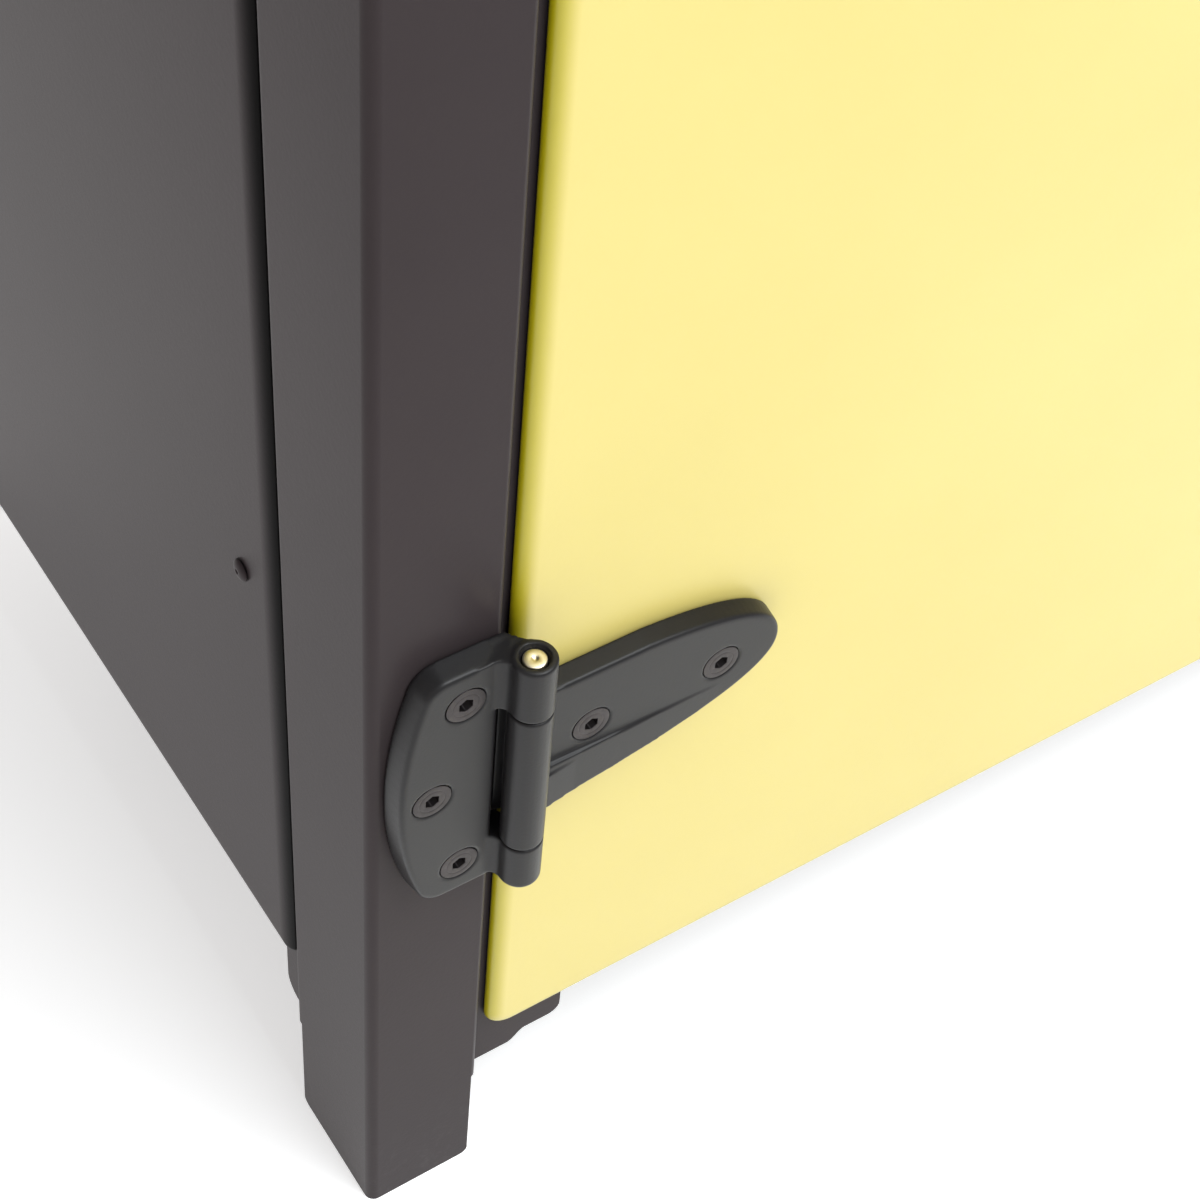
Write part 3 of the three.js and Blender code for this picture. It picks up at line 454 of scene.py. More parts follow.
def tool_marks():
    """Turned or brushed metal: fine noise drawn out along two axes and tight across the third."""
    group, given, out = new_group(
        "tool_marks", [("Across", VECTOR, (40.0, 40.0, 3000.0))],
        [("Height", FLOAT), ("Tone", FLOAT)])
    where = own_place(group)
    drawn = vector_arithmetic(group, "MULTIPLY", (where, 0), (given.outputs["Across"], 1))
    group.links.new(noise(group, drawn, 1.0, 3.0, 0.65), out.inputs["Height"])
    group.links.new(noise(group, where, 90.0, 2.0), out.inputs["Tone"])
    return group


def painted_rim_shade():
    """Painted shade along a panel's rim, where its edge turns into the dark gap: 1 at the rim of a
    panel's box, 0 once Width inside it. The distance is the smallest over the axes of half the
    box's size less the distance from its middle."""
    group, given, out = new_group(
        "painted_rim_shade", [("Middle", VECTOR, (0.0, 0.0, 0.5)), ("Half", VECTOR, (0.2, 1.0, 0.4)),
                      ("Width", FLOAT, 0.006)], [("Mask", FLOAT)])
    where = own_place(group)
    off = vector_arithmetic(group, "SUBTRACT", (where, 0), (given.outputs["Middle"], 1))
    size = vector_arithmetic(group, "ABSOLUTE", (off, 0))
    left = vector_arithmetic(group, "SUBTRACT", (given.outputs["Half"], 0), (size, 1))
    axes = node(group, "ShaderNodeSeparateXYZ", [(left, 0)])
    nearer = arithmetic(group, "MINIMUM", (axes.outputs["X"], 0), (axes.outputs["Y"], 1))
    nearest = arithmetic(group, "MINIMUM", (nearer, 0), (axes.outputs["Z"], 1))
    mask = node(group, "ShaderNodeMapRange",
                [(nearest, "Value"), (given.outputs["Width"], "From Max")],
                interpolation_type="SMOOTHSTEP", in_From_Min=0.0, in_To_Min=1.0,
                in_To_Max=0.0).outputs["Result"]
    group.links.new(mask, out.inputs["Mask"])
    return group


COAT, SCUFFS, MARKS, RIM_SHADE_NODES = coat_texture(), floor_scuffs(), tool_marks(), painted_rim_shade()


def group_node(tree, group, **values):
    """A placed node group with its own input values."""
    placed = node(tree, "ShaderNodeGroup")
    placed.node_tree = group
    for label, value in values.items():
        placed.inputs[label.replace("_", " ")].default_value = value
    return placed


def start_material(name, **constants):
    """A material and its shader, with the constants set on the shader's own sockets."""
    material = bpy.data.materials.new(name)
    material.use_nodes = True
    shader = material.node_tree.nodes["Principled BSDF"]
    for label, value in constants.items():
        shader.inputs[label.replace("_", " ")].default_value = value
    return material, material.node_tree, shader


def blend_colours(tree, factor, low, high):
    """A colour between low, which may be another node's output, and high, by a factor."""
    mix = node(tree, "ShaderNodeMix", [(factor, 0)], data_type="RGBA")
    if isinstance(low, tuple):
        mix.inputs[6].default_value = (*low, 1.0)
    else:
        tree.links.new(low, mix.inputs[6])
    mix.inputs[7].default_value = (*high, 1.0)
    return mix.outputs[2]


def feed(tree, shader, colour, roughness, height, strength, distance):
    """Feeds the shader its colour and roughness, and a height through a Bump node."""
    relief = node(tree, "ShaderNodeBump", [(height, "Height")], in_Strength=strength,
                  in_Distance=distance).outputs["Normal"]
    for source, target in ((colour, "Base Color"), (roughness, "Roughness"), (relief, "Normal")):
        tree.links.new(source, shader.inputs[target])


def powder_coat(name, dark, light, rough, peel, grain, share, depth=0.00006, scuffs=0.0,
                rim_shading=None, **constants):
    """A powder coat between two tones, with orange peel and grain. Scuffs is how much the dust
    near the floor shows. The rim argument is (middle, half size, colour) of a panel whose rim is
    painted darker: painted shade for the gap its edge turns into."""
    material, tree, shader = start_material(name, **constants)
    coat = group_node(tree, COAT, Peel_Size=peel, Grain_Size=grain, Grain_Share=share)
    colour = blend_colours(tree, range_of(tree, coat.outputs["Drift"], 0.0, 1.0), dark, light)
    roughness = range_of(tree, coat.outputs["Grain"], rough - 0.03, rough + 0.03)
    if scuffs:
        worn = group_node(tree, SCUFFS)
        shown = range_of(tree, worn.outputs["Mask"], 0.0, scuffs, 0.0, 1.0)
        colour = blend_colours(tree, shown, colour, DUST)
    # Painted shade: near the rim of the panel's box the colour is blended towards the given dark
    # colour.
    if rim_shading:
        box_middle, box_half, tone = rim_shading
        rim = group_node(tree, RIM_SHADE_NODES, Middle=box_middle, Half=box_half, Width=SHADED_RIM_WIDTH)
        colour = blend_colours(tree, rim.outputs["Mask"], colour, tone)
    feed(tree, shader, colour, roughness, coat.outputs["Height"], 0.35, depth)
    return material


def worked_metal(name, dark, light, rough, across, **constants):
    """Bare or plated metal between two tones, with the marks of its making."""
    material, tree, shader = start_material(name, Metallic=1.0, **constants)
    marks = group_node(tree, MARKS, Across=across)
    colour = blend_colours(tree, range_of(tree, marks.outputs["Tone"], 0.0, 1.0), dark, light)
    roughness = range_of(tree, marks.outputs["Height"], rough - 0.06, rough + 0.08)
    feed(tree, shader, colour, roughness, marks.outputs["Height"], 0.25, 0.00004)
    return material


def shaded_rim_of(name, thin_axis, tone):
    """What powder_coat takes for a painted shade rim: a CAD node's box, endless along its thin
    axis.
    """
    low, high = (np.array(corner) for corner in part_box(name))
    half = (high - low) / 2
    half[thin_axis] = ENDLESS
    return tuple((low + high) / 2), tuple(half), tone


# The second number is how far in from a panel's rim the painted shade reaches, in metres.
DUST, SHADED_RIM_WIDTH, ENDLESS = (0.22, 0.21, 0.2), 0.0062, 9.0
GREY = {"dark": (0.0345, 0.0274, 0.0290), "light": (0.0388, 0.0310, 0.0326), "rough": 0.33,
        "peel": 1.5, "grain": 0.35, "share": 0.55, "Specular_IOR_Level": 0.055,
        "Specular_Tint": (1.0, 0.93, 0.94, 1.0)}
MATERIALS = {
    "grey_coat": powder_coat("grey_coat", scuffs=0.1, **GREY),
    # The side panels' coat: its rim is painted near black, a painted shade for the deep gap
    # between panel and post.
    "grey_coat_rim_shaded": powder_coat(
        "grey_coat_rim_shaded", rim_shading=shaded_rim_of("side_panel_left", 0, (0.002, 0.002, 0.002)), **GREY),
    # The door's rim is painted a darker, more saturated yellow: painted shade where its rolled
    # edge turns into the gap.
    "yellow_coat": powder_coat(
        "yellow_coat", (0.640, 0.533, 0.155), (0.668, 0.560, 0.170), rough=0.36, peel=2.2,
        grain=0.5, share=0.25, rim_shading=shaded_rim_of("door_panel", 1, (0.46, 0.395, 0.001))),
    "black_moulding": powder_coat(
        "black_moulding", (0.0115, 0.0109, 0.0116), (0.0143, 0.0134, 0.0143), rough=0.36,
        peel=0.9, grain=0.28, share=0.9, Specular_IOR_Level=0.22),
    "gasket_rubber": powder_coat(
        "gasket_rubber", (0.012, 0.012, 0.012), (0.018, 0.018, 0.018), rough=0.7, peel=3.0,
        grain=0.8, share=0.5, depth=0.00012),
    "dark_screw": worked_metal(
        "dark_screw", (0.048, 0.043, 0.044), (0.062, 0.055, 0.056), 0.42, (900.0, 60.0, 900.0)),
    "yellow_zinc": worked_metal(
        "yellow_zinc", (0.72, 0.65, 0.48), (0.80, 0.74, 0.60), 0.35, (60.0, 60.0, 2500.0)),
    "bright_zinc": worked_metal(
        "bright_zinc", (0.55, 0.56, 0.58), (0.66, 0.67, 0.68), 0.4, (300.0, 300.0, 300.0)),
    "satin_nickel": worked_metal(
        "satin_nickel", (0.58, 0.55, 0.50), (0.66, 0.63, 0.58), 0.28, (1500.0, 60.0, 1500.0)),
}


# ------------------------------------------------------------------ posts

def corner_post():
    """The front left post's middle surface: its bent section drawn up in patches, whose lower
    edges follow the leg, the stepped front flange and the rounded side flange."""
    mid = POST_SHEET / 2
    section = bent_line([
        (REBATE_END, REBATE + mid, 0),
        (POST_FRONT - mid, REBATE + mid, FOLD),
        (POST_FRONT - mid, mid, FOLD),
        (mid, mid, POST_BEND - mid),
        (mid, POST_SIDE - mid, FOLD),
        (SIDE_RECESS + mid, POST_SIDE - mid, FOLD),
        (SIDE_RECESS + mid, SIDE_END, 0),
    ], 8)
    x, y = section[:, 0], section[:, 1]
    first = int(np.argmax((y < REBATE) & (x < LEG_FRONT + 0.8)))
    last = len(y) - 1 - int(np.argmax(((x < SIDE_RECESS) & (y < LEG_SIDE + 0.8))[::-1]))

    def drawn(line, *heights):
        """Rows at the given heights over a line; a height is a number or one for each point."""
        rows = [np.column_stack([line, np.broadcast_to(h, len(line))]) for h in heights]
        return skin(np.array(rows))

    def foot_curve(distance, radius):
        """The height a rounded corner adds at a distance from its end: r - sqrt(r2 - (r - d)2)."""
        inside = np.clip(radius - distance, 0, radius)
        return radius - np.sqrt(radius ** 2 - inside ** 2)

    count = 7
    corner = 1 - np.cos(np.linspace(0, math.pi / 2, count))
    front_run = np.column_stack([LEG_FRONT - corner * LEG_CORNER, np.full(count, mid)])
    side_run = np.column_stack([np.full(count, mid), LEG_SIDE - corner[::-1] * LEG_CORNER])
    bend = section[first:last + 1]
    bend = bend[(bend[:, 0] < LEG_FRONT - LEG_CORNER) & (bend[:, 1] < LEG_SIDE - LEG_CORNER)]
    leg = np.concatenate([front_run, bend, side_run])
    sole = np.zeros(len(leg))
    sole[:count] = foot_curve(LEG_FRONT - front_run[:, 0], LEG_CORNER)
    sole[-count:] = foot_curve(LEG_SIDE - side_run[:, 1], LEG_CORNER)
    flange_x = np.concatenate([
        REBATE_END - corner * REBATE_CORNER, np.linspace(68, STEP_END, 3),
        np.linspace(STEP_END, STEP_START, 10)[1:], [50.0, 45.0]])
    front_bend = section[(x > LEG_FRONT) & (x <= POST_FRONT + 2.2) & (y < REBATE + 1)]
    flange = np.concatenate([
        np.column_stack([flange_x, np.full(len(flange_x), REBATE + mid)]), front_bend, leg[:1]])
    run = np.clip((flange[:, 0] - STEP_START) / (STEP_END - STEP_START), 0, 1)
    hem = FLANGE_BOTTOM + STEP_UP * run * run * (3 - 2 * run)
    hem += foot_curve(REBATE_END - flange[:, 0], REBATE_CORNER)
    side_bend = section[(y > LEG_SIDE) & (y < POST_SIDE + 2.2) & (x < SIDE_RECESS + 1)]
    toe_y = np.concatenate([[50.5, 52.0], TOE_END - corner[::-1] * TOE_RADIUS])
    toe = np.concatenate([
        leg[-1:], side_bend, np.column_stack([np.full(len(toe_y), SIDE_RECESS + mid), toe_y])])
    toe_hem = FLANGE_BOTTOM + foot_curve(TOE_END - toe[:, 1], TOE_RADIUS)
    behind = np.array([[SIDE_RECESS + mid, v] for v in (TOE_END, 70.0, SIDE_END)])
    shared = PANEL_BOTTOM + 8.0
    levels = (PANEL_BOTTOM, shared)
    whole = np.concatenate([flange[:-1], leg, toe[1:], behind[1:]])
    # Above the leg the side flange lies deeper, so that the joint beside the panel stays dark.
    deep = whole.copy()
    sunk = np.clip((whole[:, 0] - mid) / SIDE_RECESS, 0, 1) * (whole[:, 1] > LEG_SIDE)
    deep[:, 0] += (SEAM_DEPTH - SIDE_RECESS) * sunk
    upper = [np.column_stack([line, np.full(len(line), height)]) for line, height in (
        (whole, shared), (deep, shared + 6.0), (deep, 480.0), (deep, 860.0), (deep, POST_TOP))]
    return together(
        drawn(leg, sole, FLANGE_BOTTOM, *levels),
        drawn(flange, hem, *levels),
        drawn(toe, toe_hem, *levels),
        drawn(behind, *levels),
        skin(np.array(upper)),
    )


def make_posts():
    """Four posts from one form: mirrored for the right side and for the back."""
    left = corner_post()
    right = flipped(left, 0, WIDTH / 2)
    forms = {
        "front_left": left, "front_right": right,
        "rear_left": flipped(left, 1, DEPTH / 2), "rear_right": flipped(right, 1, DEPTH / 2),
    }
    for place, form in forms.items():
        name = f"corner_post_{place}"
        shown = piece(name, mesh_from(name, form, solid=False), "cabinet", "grey_coat",
                      [f"post_{place}"])
        add_walls(shown, POST_SHEET)
        soften(shown, 0.3)


# ------------------------------------------------------------------ panels and roof

def make_panels():
    """The two side panels, the back panel, the panel above the door, and their rivets."""
    low, high = extent("side_panel_left")
    left = pan((low[1], high[1], PANEL_BOTTOM, PANEL_TOP), PANEL_CORNER, PANEL_EDGE,
               PANEL_SPREAD, SEAM_DEPTH - SEAT, "left")
    for side, form in (("left", left), ("right", flipped(left, 0, WIDTH / 2))):
        shown = show(f"side_skin_{side}", form, "cabinet", "grey_coat", f"side_panel_{side}")
        # The side panels take the coat whose rim is painted with shade for the gap beside the
        # post.
        shown.data.materials[0] = MATERIALS["grey_coat_rim_shaded"]
    back = pan(front_sides("back_panel"), PANEL_CORNER, PANEL_EDGE, PANEL_SPREAD, REBATE - SEAT,
               "front")
    show("back_skin", flipped(back, 1, DEPTH / 2), "cabinet", "grey_coat", "back_panel")
    show("header_skin", header(), "cabinet", "grey_coat", "header_panel")
    for side in ("left", "right"):
        for number, place in RIVETS.items():
            form = rivet(place)
            if side == "right":
                form = flipped(form, 0, WIDTH / 2)
            name = f"rivet_head_{side}_{number}"
            data = mesh_from(name, form)
            piece(name, data, "cabinet", "grey_coat", [f"rivet_{side}_{number}"])


def about_slot(half_x, half_z):
    """Sides at equal distances from the slot's middle."""
    return SLOT_X - half_x, SLOT_X + half_x, SLOT_Z - half_z, SLOT_Z + half_z


def header():
    """The panel above the door: a pan whose face has an opening for the slot's sleeve."""
    sides = front_sides("header_panel")
    opening = (*about_slot(OPENING_X, OPENING_Z), 0.4)
    sheet = PANEL_SHEET
    outer = [(DOOR_EDGE + 3.0, 0.0), *rounding(DOOR_EDGE), (0.0, DOOR_RETURN)]
    inner = [(sheet, DOOR_RETURN), *(rounding(DOOR_EDGE - sheet)[::-1] + sheet),
             (DOOR_EDGE + 3.0, sheet)]
    stations = [inset_station(sides, PANEL_CORNER, i, w) for i, w in outer + inner]
    stations = [(*opening, 0.0), *stations, (*opening, sheet)]
    return skin(lofted(stations, "front"), wrap_rows=True, wrap_columns=True)


def rivet(place):
    """A blind rivet: a domed head with the broken mandrel's dimple, turned about X."""
    a = np.linspace(0.25, math.pi / 2, 8)
    dome = np.column_stack([RIVET_HEAD * np.sin(a), -SEAT - RIVET_RISE * np.cos(a) ** 0.8])
    end = SIDE_RECESS + 2.5
    profile = [(0.0, -SEAT - 0.9), (0.5, -SEAT - 1.0), (0.75, -SEAT - 1.5), *dome,
               (RIVET_HEAD, -SEAT), (RIVET_SHANK, -SEAT), (RIVET_SHANK, end), (0.0, end)]
    return turned(profile, (0.0, *place[1:]), 0, 32)


def roof():
    """The roof hood: an outer and an inner skin from the mouth round the skirt to the top. The
    upper stations are lowered towards the back in proportion to Y."""
    sheet = POST_SHEET
    outer = (ROOF_LEFT, ROOF_RIGHT, ROOF_FRONT, ROOF_BACK)
    mouth = (-1.0, WIDTH + 1.0, -1.0, DEPTH + 1.0, 0.6)
    low, top, flat = ROOF_BOTTOM, ROOF_TOP, ROOF_EDGE + 6.0
    bottom_round = [(i, low + d) for i, d in rounding(1.8)]
    top_round = [(i, top - d) for i, d in rounding(ROOF_EDGE)[::-1]]
    inner_top = [(i + sheet, top - sheet - d) for i, d in rounding(ROOF_EDGE - sheet)]
    rising = [*bottom_round, *top_round, (flat, top), (flat, top - sheet), *inner_top,
              (sheet, low + sheet)]
    stations = [inset_station(outer, ROOF_CORNER, i, w) for i, w in rising]
    grid = lofted([(*mouth, low), *stations, (*mouth, low + sheet)], "up")
    raised = np.array([station[-1] > low + 20 for station in stations])
    share = (grid[1:-1, :, 1] - ROOF_FRONT) / (ROOF_BACK - ROOF_FRONT)
    grid[1:-1, :, 2] -= ROOF_FALL * share * raised[:, None]
    split = 1 + len(bottom_round) + len(top_round)
    outside = skin(grid[:split + 1], wrap_columns=True, cap_last=True)
    inside = skin(grid[split + 1:], wrap_columns=True, cap_first=True)
    lip = skin(grid[[-1, 0]], wrap_columns=True)
    return together(outside, inside, lip)


# ------------------------------------------------------------------ hinges

def leaf_outline():
    """The frame leaf: a straight edge beside the barrel, corner arcs and one long bulging arc on
    the left, as points and outward directions, counterclockwise from the lower right."""
    bulge, corner, half = LEAF_BULGE, LEAF_CORNER, BARREL_HALF - SEAT
    edge = AXIS_X - BARREL - LEAF_SLOT
    centre_x = AXIS_X - LEAF_REACH + bulge
    corner_z = half - corner
    corner_x = centre_x - math.sqrt((bulge - corner) ** 2 - corner_z ** 2)
    sweep = math.asin(corner_z / (bulge - corner))
    upper = np.linspace(math.pi / 2, math.pi - sweep, 10)
    long_arc = np.linspace(math.pi - sweep, math.pi + sweep, 24)[1:-1]
    lower = np.linspace(math.pi + sweep, 1.5 * math.pi, 10)
    angle = np.concatenate([upper, long_arc, lower])
    counts = [len(upper), len(long_arc), len(lower)]
    radius = np.repeat([corner, bulge, corner], counts)
    x = np.repeat([corner_x, centre_x, corner_x], counts)
    z = np.repeat([corner_z, 0.0, -corner_z], counts)
    arcs = np.column_stack([x + radius * np.cos(angle), z + radius * np.sin(angle)])
    out = np.column_stack([np.cos(angle), np.sin(angle)])
    points = np.concatenate([[[edge, half]], arcs, [[edge, -half]]])
    out = np.concatenate([[[0.0, 1.0]], out, [[0.0, -1.0]]])
    return points, out


def plate_on(points, out, thickness, draft, fillet):
    """A plate on an outline: a wall that leans in by draft, a quarter round and a flat face. Each
    ring is the outline less its outward direction times the inset, at its own depth."""
    rings = [(0.0, SEAT)] + [(draft + i, thickness - d) for i, d in rounding(fillet)[::-1]]
    grid = np.empty((len(rings), len(points), 3))
    for row, (inset, depth) in zip(grid, rings):
        row[:, [0, 2]] = points - out * inset
        row[:, 1] = -depth
    return closed_skin(grid)


def neck_section(side, thickness, sweep):
    """The neck's section: along the leaf's face, up a concave round that touches the barrel, and
    back under it. The round's centre is sweep + barrel radius from the axis. The door's neck
    ends in a lip that covers the door's edge behind the barrel."""
    drop = -thickness - sweep - AXIS_Y
    reach = math.sqrt((BARREL + sweep) ** 2 - drop ** 2)
    start = math.atan2(-drop, reach)
    a = np.linspace(math.pi / 2, start, 9)
    curve = np.column_stack([reach - sweep * np.cos(a), AXIS_Y + drop + sweep * np.sin(a)])
    back = [[-1.0, -5.0], [1.4, -2.2], [2.3, -SEAT]]
    if side > 0:
        back = [[-1.0, -5.0], [-0.6, -3.0], [-3.7, -1.8], [-3.8, -1.0], [-1.6, -SEAT]]
    outline = np.concatenate([
        [[reach + 5.0, -SEAT], [reach + 5.0, -thickness]], curve, [[0.0, AXIS_Y], [-2.4, -6.2]],
        back])
    outline[:, 0] = AXIS_X + side * outline[:, 0]
    return outline


def neck(side, thickness, sweep, low, high, draft):
    """The neck's section drawn up from low to high, each a height and its share of the lean. The
    ends lean in with the leaf's wall: by draft at its face, and not at all by the barrel."""
    section = neck_section(side, thickness, sweep)
    lean = draft * np.clip(-section[:, 1] / thickness, 0, 1)
    lean *= np.clip((side * (section[:, 0] - AXIS_X) - 5.0) / 7.0, 0, 1)
    grid = np.empty((2, len(section), 3))
    grid[:, :, :2] = section
    grid[0, :, 2] = low[0] + low[1] * lean
    grid[1, :, 2] = high[0] - high[1] * lean
    return closed_skin(grid)


def barrel_part(low, high, round_low, round_high):
    """A knuckle: a turned cylinder with its own round at each end."""
    lower = [(BARREL - i, low + d) for i, d in rounding(round_low, 5)]
    upper = [(BARREL - i, high - d) for i, d in rounding(round_high, 5)[::-1]]
    return turned([*lower, *upper], (AXIS_X, AXIS_Y, 0.0), 2, 64)


def pin_holes():
    """The pin's bore right through the barrel, and the recess round each of its ends."""
    far = BARREL_HALF + 2
    seat = BARREL_HALF - PIN_RECESS
    axis = (AXIS_X, AXIS_Y, 0.0)
    bore = turned([(PIN + 0.35, -far), (PIN + 0.35, far)], axis, 2, 48)
    top = turned([(PIN_RECESS_RADIUS, seat), (PIN_RECESS_RADIUS, far - 1.7),
                  (PIN_RECESS_RADIUS + 1.3, far)], axis, 2, 48)
    bottom = turned([(PIN_RECESS_RADIUS + 1.3, FOOT_RISE - far),
                     (PIN_RECESS_RADIUS, FOOT_RISE + 1.7 - far),
                     (PIN_RECESS_RADIUS, FOOT_RISE - seat)], axis, 2, 48)
    return [bore, top, bottom]


def screw_places(kind, count):
    """The (x, z) of a hinge's screws, with z from the hinge's middle."""
    places = [centre_of(f"{kind}_screw_lower_{number}") for number in range(1, count + 1)]
    return [(x, z - HINGE_HEIGHTS["lower"]) for x, _, z in places]


def screw_hole(x, z, face):
    """A countersink with its through hole, a little larger than the screw's head and shank."""
    wide, narrow = SCREW_HEAD + 0.35, SCREW_SHANK + SEAT
    profile = [(wide, -3.0), (wide, 0.35), (narrow, 0.35 + wide - narrow), (narrow, face + 3)]
    return turned(profile, (x, -face, z), 1, 48)


def frame_leaf():
    """The leaf on the post, with its upper and lower knuckles."""
    points, out = leaf_outline()
    plate = plate_on(points, out, FRAME_LEAF, draft=1.0, fillet=1.6)
    split = MIDDLE_HALF + 0.4
    end = BARREL_HALF - SEAT
    solids = [plate]
    foot = FOOT_RISE - BARREL_HALF
    for low, high, rounds in ((split, BARREL_HALF, (0.5, 0.9)), (foot, -split, (1.6, 0.5))):
        solids.append(barrel_part(low, high, *rounds))
    for low, high in (((split, 0), (end - 0.1, 1)), ((foot + 0.5, 1), (-split, 0))):
        solids.append(neck(-1, FRAME_LEAF, 3.6, low, high, draft=1.3))
    holes = pin_holes() + [screw_hole(x, z, FRAME_LEAF) for x, z in screw_places("frame", 3)]
    return fused("frame_leaf", solids, holes, voxel=0.4, passes=5)


def bezier(*controls, count=16):
    """Points of a cubic curve: the controls weighted by the third power of (1 - t) + t."""
    t = np.linspace(0, 1, count)[:, None]
    p = np.array(controls, float)
    return ((1 - t) ** 3 * p[0] + 3 * (1 - t) ** 2 * t * p[1] + 3 * (1 - t) * t ** 2 * p[2]
            + t ** 3 * p[3])


def strap_outline():
    """The door leaf's outline: a straight top that curves over to the blunt tip, and a long
    lower edge that comes up to it. Directions are the edge's, turned a quarter outwards."""
    root = AXIS_X + BARREL + LEAF_SLOT
    top = bezier((84.0, 23.9), (109.0, 22.2), (130.8, 16.5), (130.8, 1.0), count=24)
    low = bezier((130.8, 1.0), (130.8, -12.6), (107.0, -20.2), (92.0, -22.9), count=24)
    points = np.concatenate([[[root, -28.2], [root, 23.9]], top, low[1:]])
    along = np.roll(points, -1, 0) - np.roll(points, 1, 0)
    along[0], along[1] = points[1] - points[0], points[2] - points[1]
    out = np.column_stack([-along[:, 1], along[:, 0]])
    out /= np.linalg.norm(out, axis=1)[:, None]
    out[0], out[1] = (0.12, -0.99), (0.0, 1.0)
    return points[::-1], out[::-1]


def band(level, z_root, z_tip, end_x):
    """The raised band along the strap's lower edge: a wedge whose face runs from level at the
    knuckle down to the strap's face at end_x, with a wall from z_root to z_tip at its top."""
    root = AXIS_X + BARREL + 1.0
    edge = np.array([[root, -27.4], [62.0, -26.2], [78.0, -24.2], [92.0, -21.9], [104.0, -18.9],
                     [111.0, -16.4]])
    edge = edge[edge[:, 0] < end_x]
    t = (edge[:, 0] - root) / (end_x - root)
    wall = z_root + (z_tip - z_root) * t
    deep = np.full(len(edge), -DOOR_LEAF + 1.5)
    face = -level + (level - DOOR_LEAF + 0.15) * t
    rows = np.stack([
        np.column_stack([edge[:, 0], deep, edge[:, 1]]),
        np.column_stack([edge[:, 0], face, edge[:, 1] + 0.6]),
        np.column_stack([edge[:, 0], face, wall]),
        np.column_stack([edge[:, 0], deep, wall + 0.5]),
    ], 1)
    return closed_skin(rows)


def door_leaf():
    """The strap on the door, with the middle knuckle."""
    points, out = strap_outline()
    plate = plate_on(points, out, DOOR_LEAF, draft=0.6, fillet=1.4)
    solids = [
        plate,
        band(level=9.0, z_root=-8.4, z_tip=-9.6, end_x=116.0),
        band(level=9.8, z_root=-11.6, z_tip=-10.6, end_x=78.0),
        neck(1, DOOR_LEAF, 3.0, (-27.4, 1), (23.6, 1), draft=0.8),
        barrel_part(-MIDDLE_HALF, MIDDLE_HALF, 0.5, 0.5),
    ]
    holes = pin_holes() + [screw_hole(x, z, DOOR_LEAF) for x, z in screw_places("door", 2)]
    return fused("door_leaf", solids, holes, voxel=0.4, passes=4)


def hinge_pin():
    """The pin, with chamfered ends and a small centre dimple in each."""
    top = BARREL_HALF - 0.6 * PIN_RECESS
    end = [(PIN, top - 0.45), (PIN - 0.12, top - 0.15), (PIN - 0.4, top), (1.1, top),
           (0.8, top - 0.12), (0.0, top - 0.75)]
    profile = [(r, FOOT_RISE - z) for r, z in end[::-1]] + end
    return turned(profile, (AXIS_X, AXIS_Y, 0.0), 2, 48)


def countersunk_screw(x, z, face, grip):
    """A countersunk screw. Radius is r((1 - h) + h times a hexagon's), where h is 1 in the
    socket and 0 outside it."""
    rim = SCREW_HEAD
    profile = np.array([
        (0.0, grip, 0), (SCREW_SHANK - 0.4, grip, 0), (SCREW_SHANK, grip - 0.4, 0),
        (SCREW_SHANK, rim - SCREW_SHANK + 0.4, 0), (rim, 0.5, 0), (rim, 0.3, 0),
        (rim - 0.15, 0.15, 0), (4.3, 0.15, 0), (4.15, 0.25, 0), (3.95, 0.25, 0), (3.8, 0.15, 0),
        (2.5, 0.15, 1), (2.3, 0.3, 1), (2.3, 2.5, 1), (0.0, 3.2, 0)])
    t = np.linspace(0, 2 * math.pi, 48, endpoint=False)
    flat = np.cos(math.pi / 6) / np.cos((t + math.pi / 6) % (math.pi / 3) - math.pi / 6)
    radius = profile[:, :1] * (1 - profile[:, 2:] * (1 - flat))
    grid = np.stack([x + radius * np.cos(t), -face + np.repeat(profile[:, 1:2], 48, 1),
                     z + radius * np.sin(t)], -1)
    return closed_skin(grid)


def make_hinges():
    """Both hinges from one set of forms, each raised to its own height."""
    castings = [("hinge_frame_part", frame_leaf(), "cabinet", "black_moulding", "frame_leaf"),
                ("hinge_door_part", door_leaf(), "door", "black_moulding", "door_leaf"),
                ("hinge_pin_turned", mesh_from("hinge_pin", hinge_pin()), "cabinet",
                 "yellow_zinc", "hinge_pin")]
    screws = {kind: [mesh_from("screw", countersunk_screw(x, z, face, grip))
                     for x, z in screw_places(kind, count)]
              for kind, count, face, grip in (("frame", 3, FRAME_LEAF, 12.0),
                                              ("door", 2, DOOR_LEAF, 10.0))}
    for place, height in HINGE_HEIGHTS.items():
        for title, data, body, slot, stands_for in castings:
            name = f"{title}_{place}"
            piece(name, moved_copy(data, name, height), body, slot, [f"{stands_for}_{place}"])
        for kind, body in (("frame", "cabinet"), ("door", "door")):
            for number, data in enumerate(screws[kind], 1):
                name = f"{kind}_countersunk_{place}_{number}"
                keep_flat(piece(name, moved_copy(data, name, height), body, "dark_screw",
                                [f"{kind}_screw_{place}_{number}"]))


# ------------------------------------------------------------------ lock

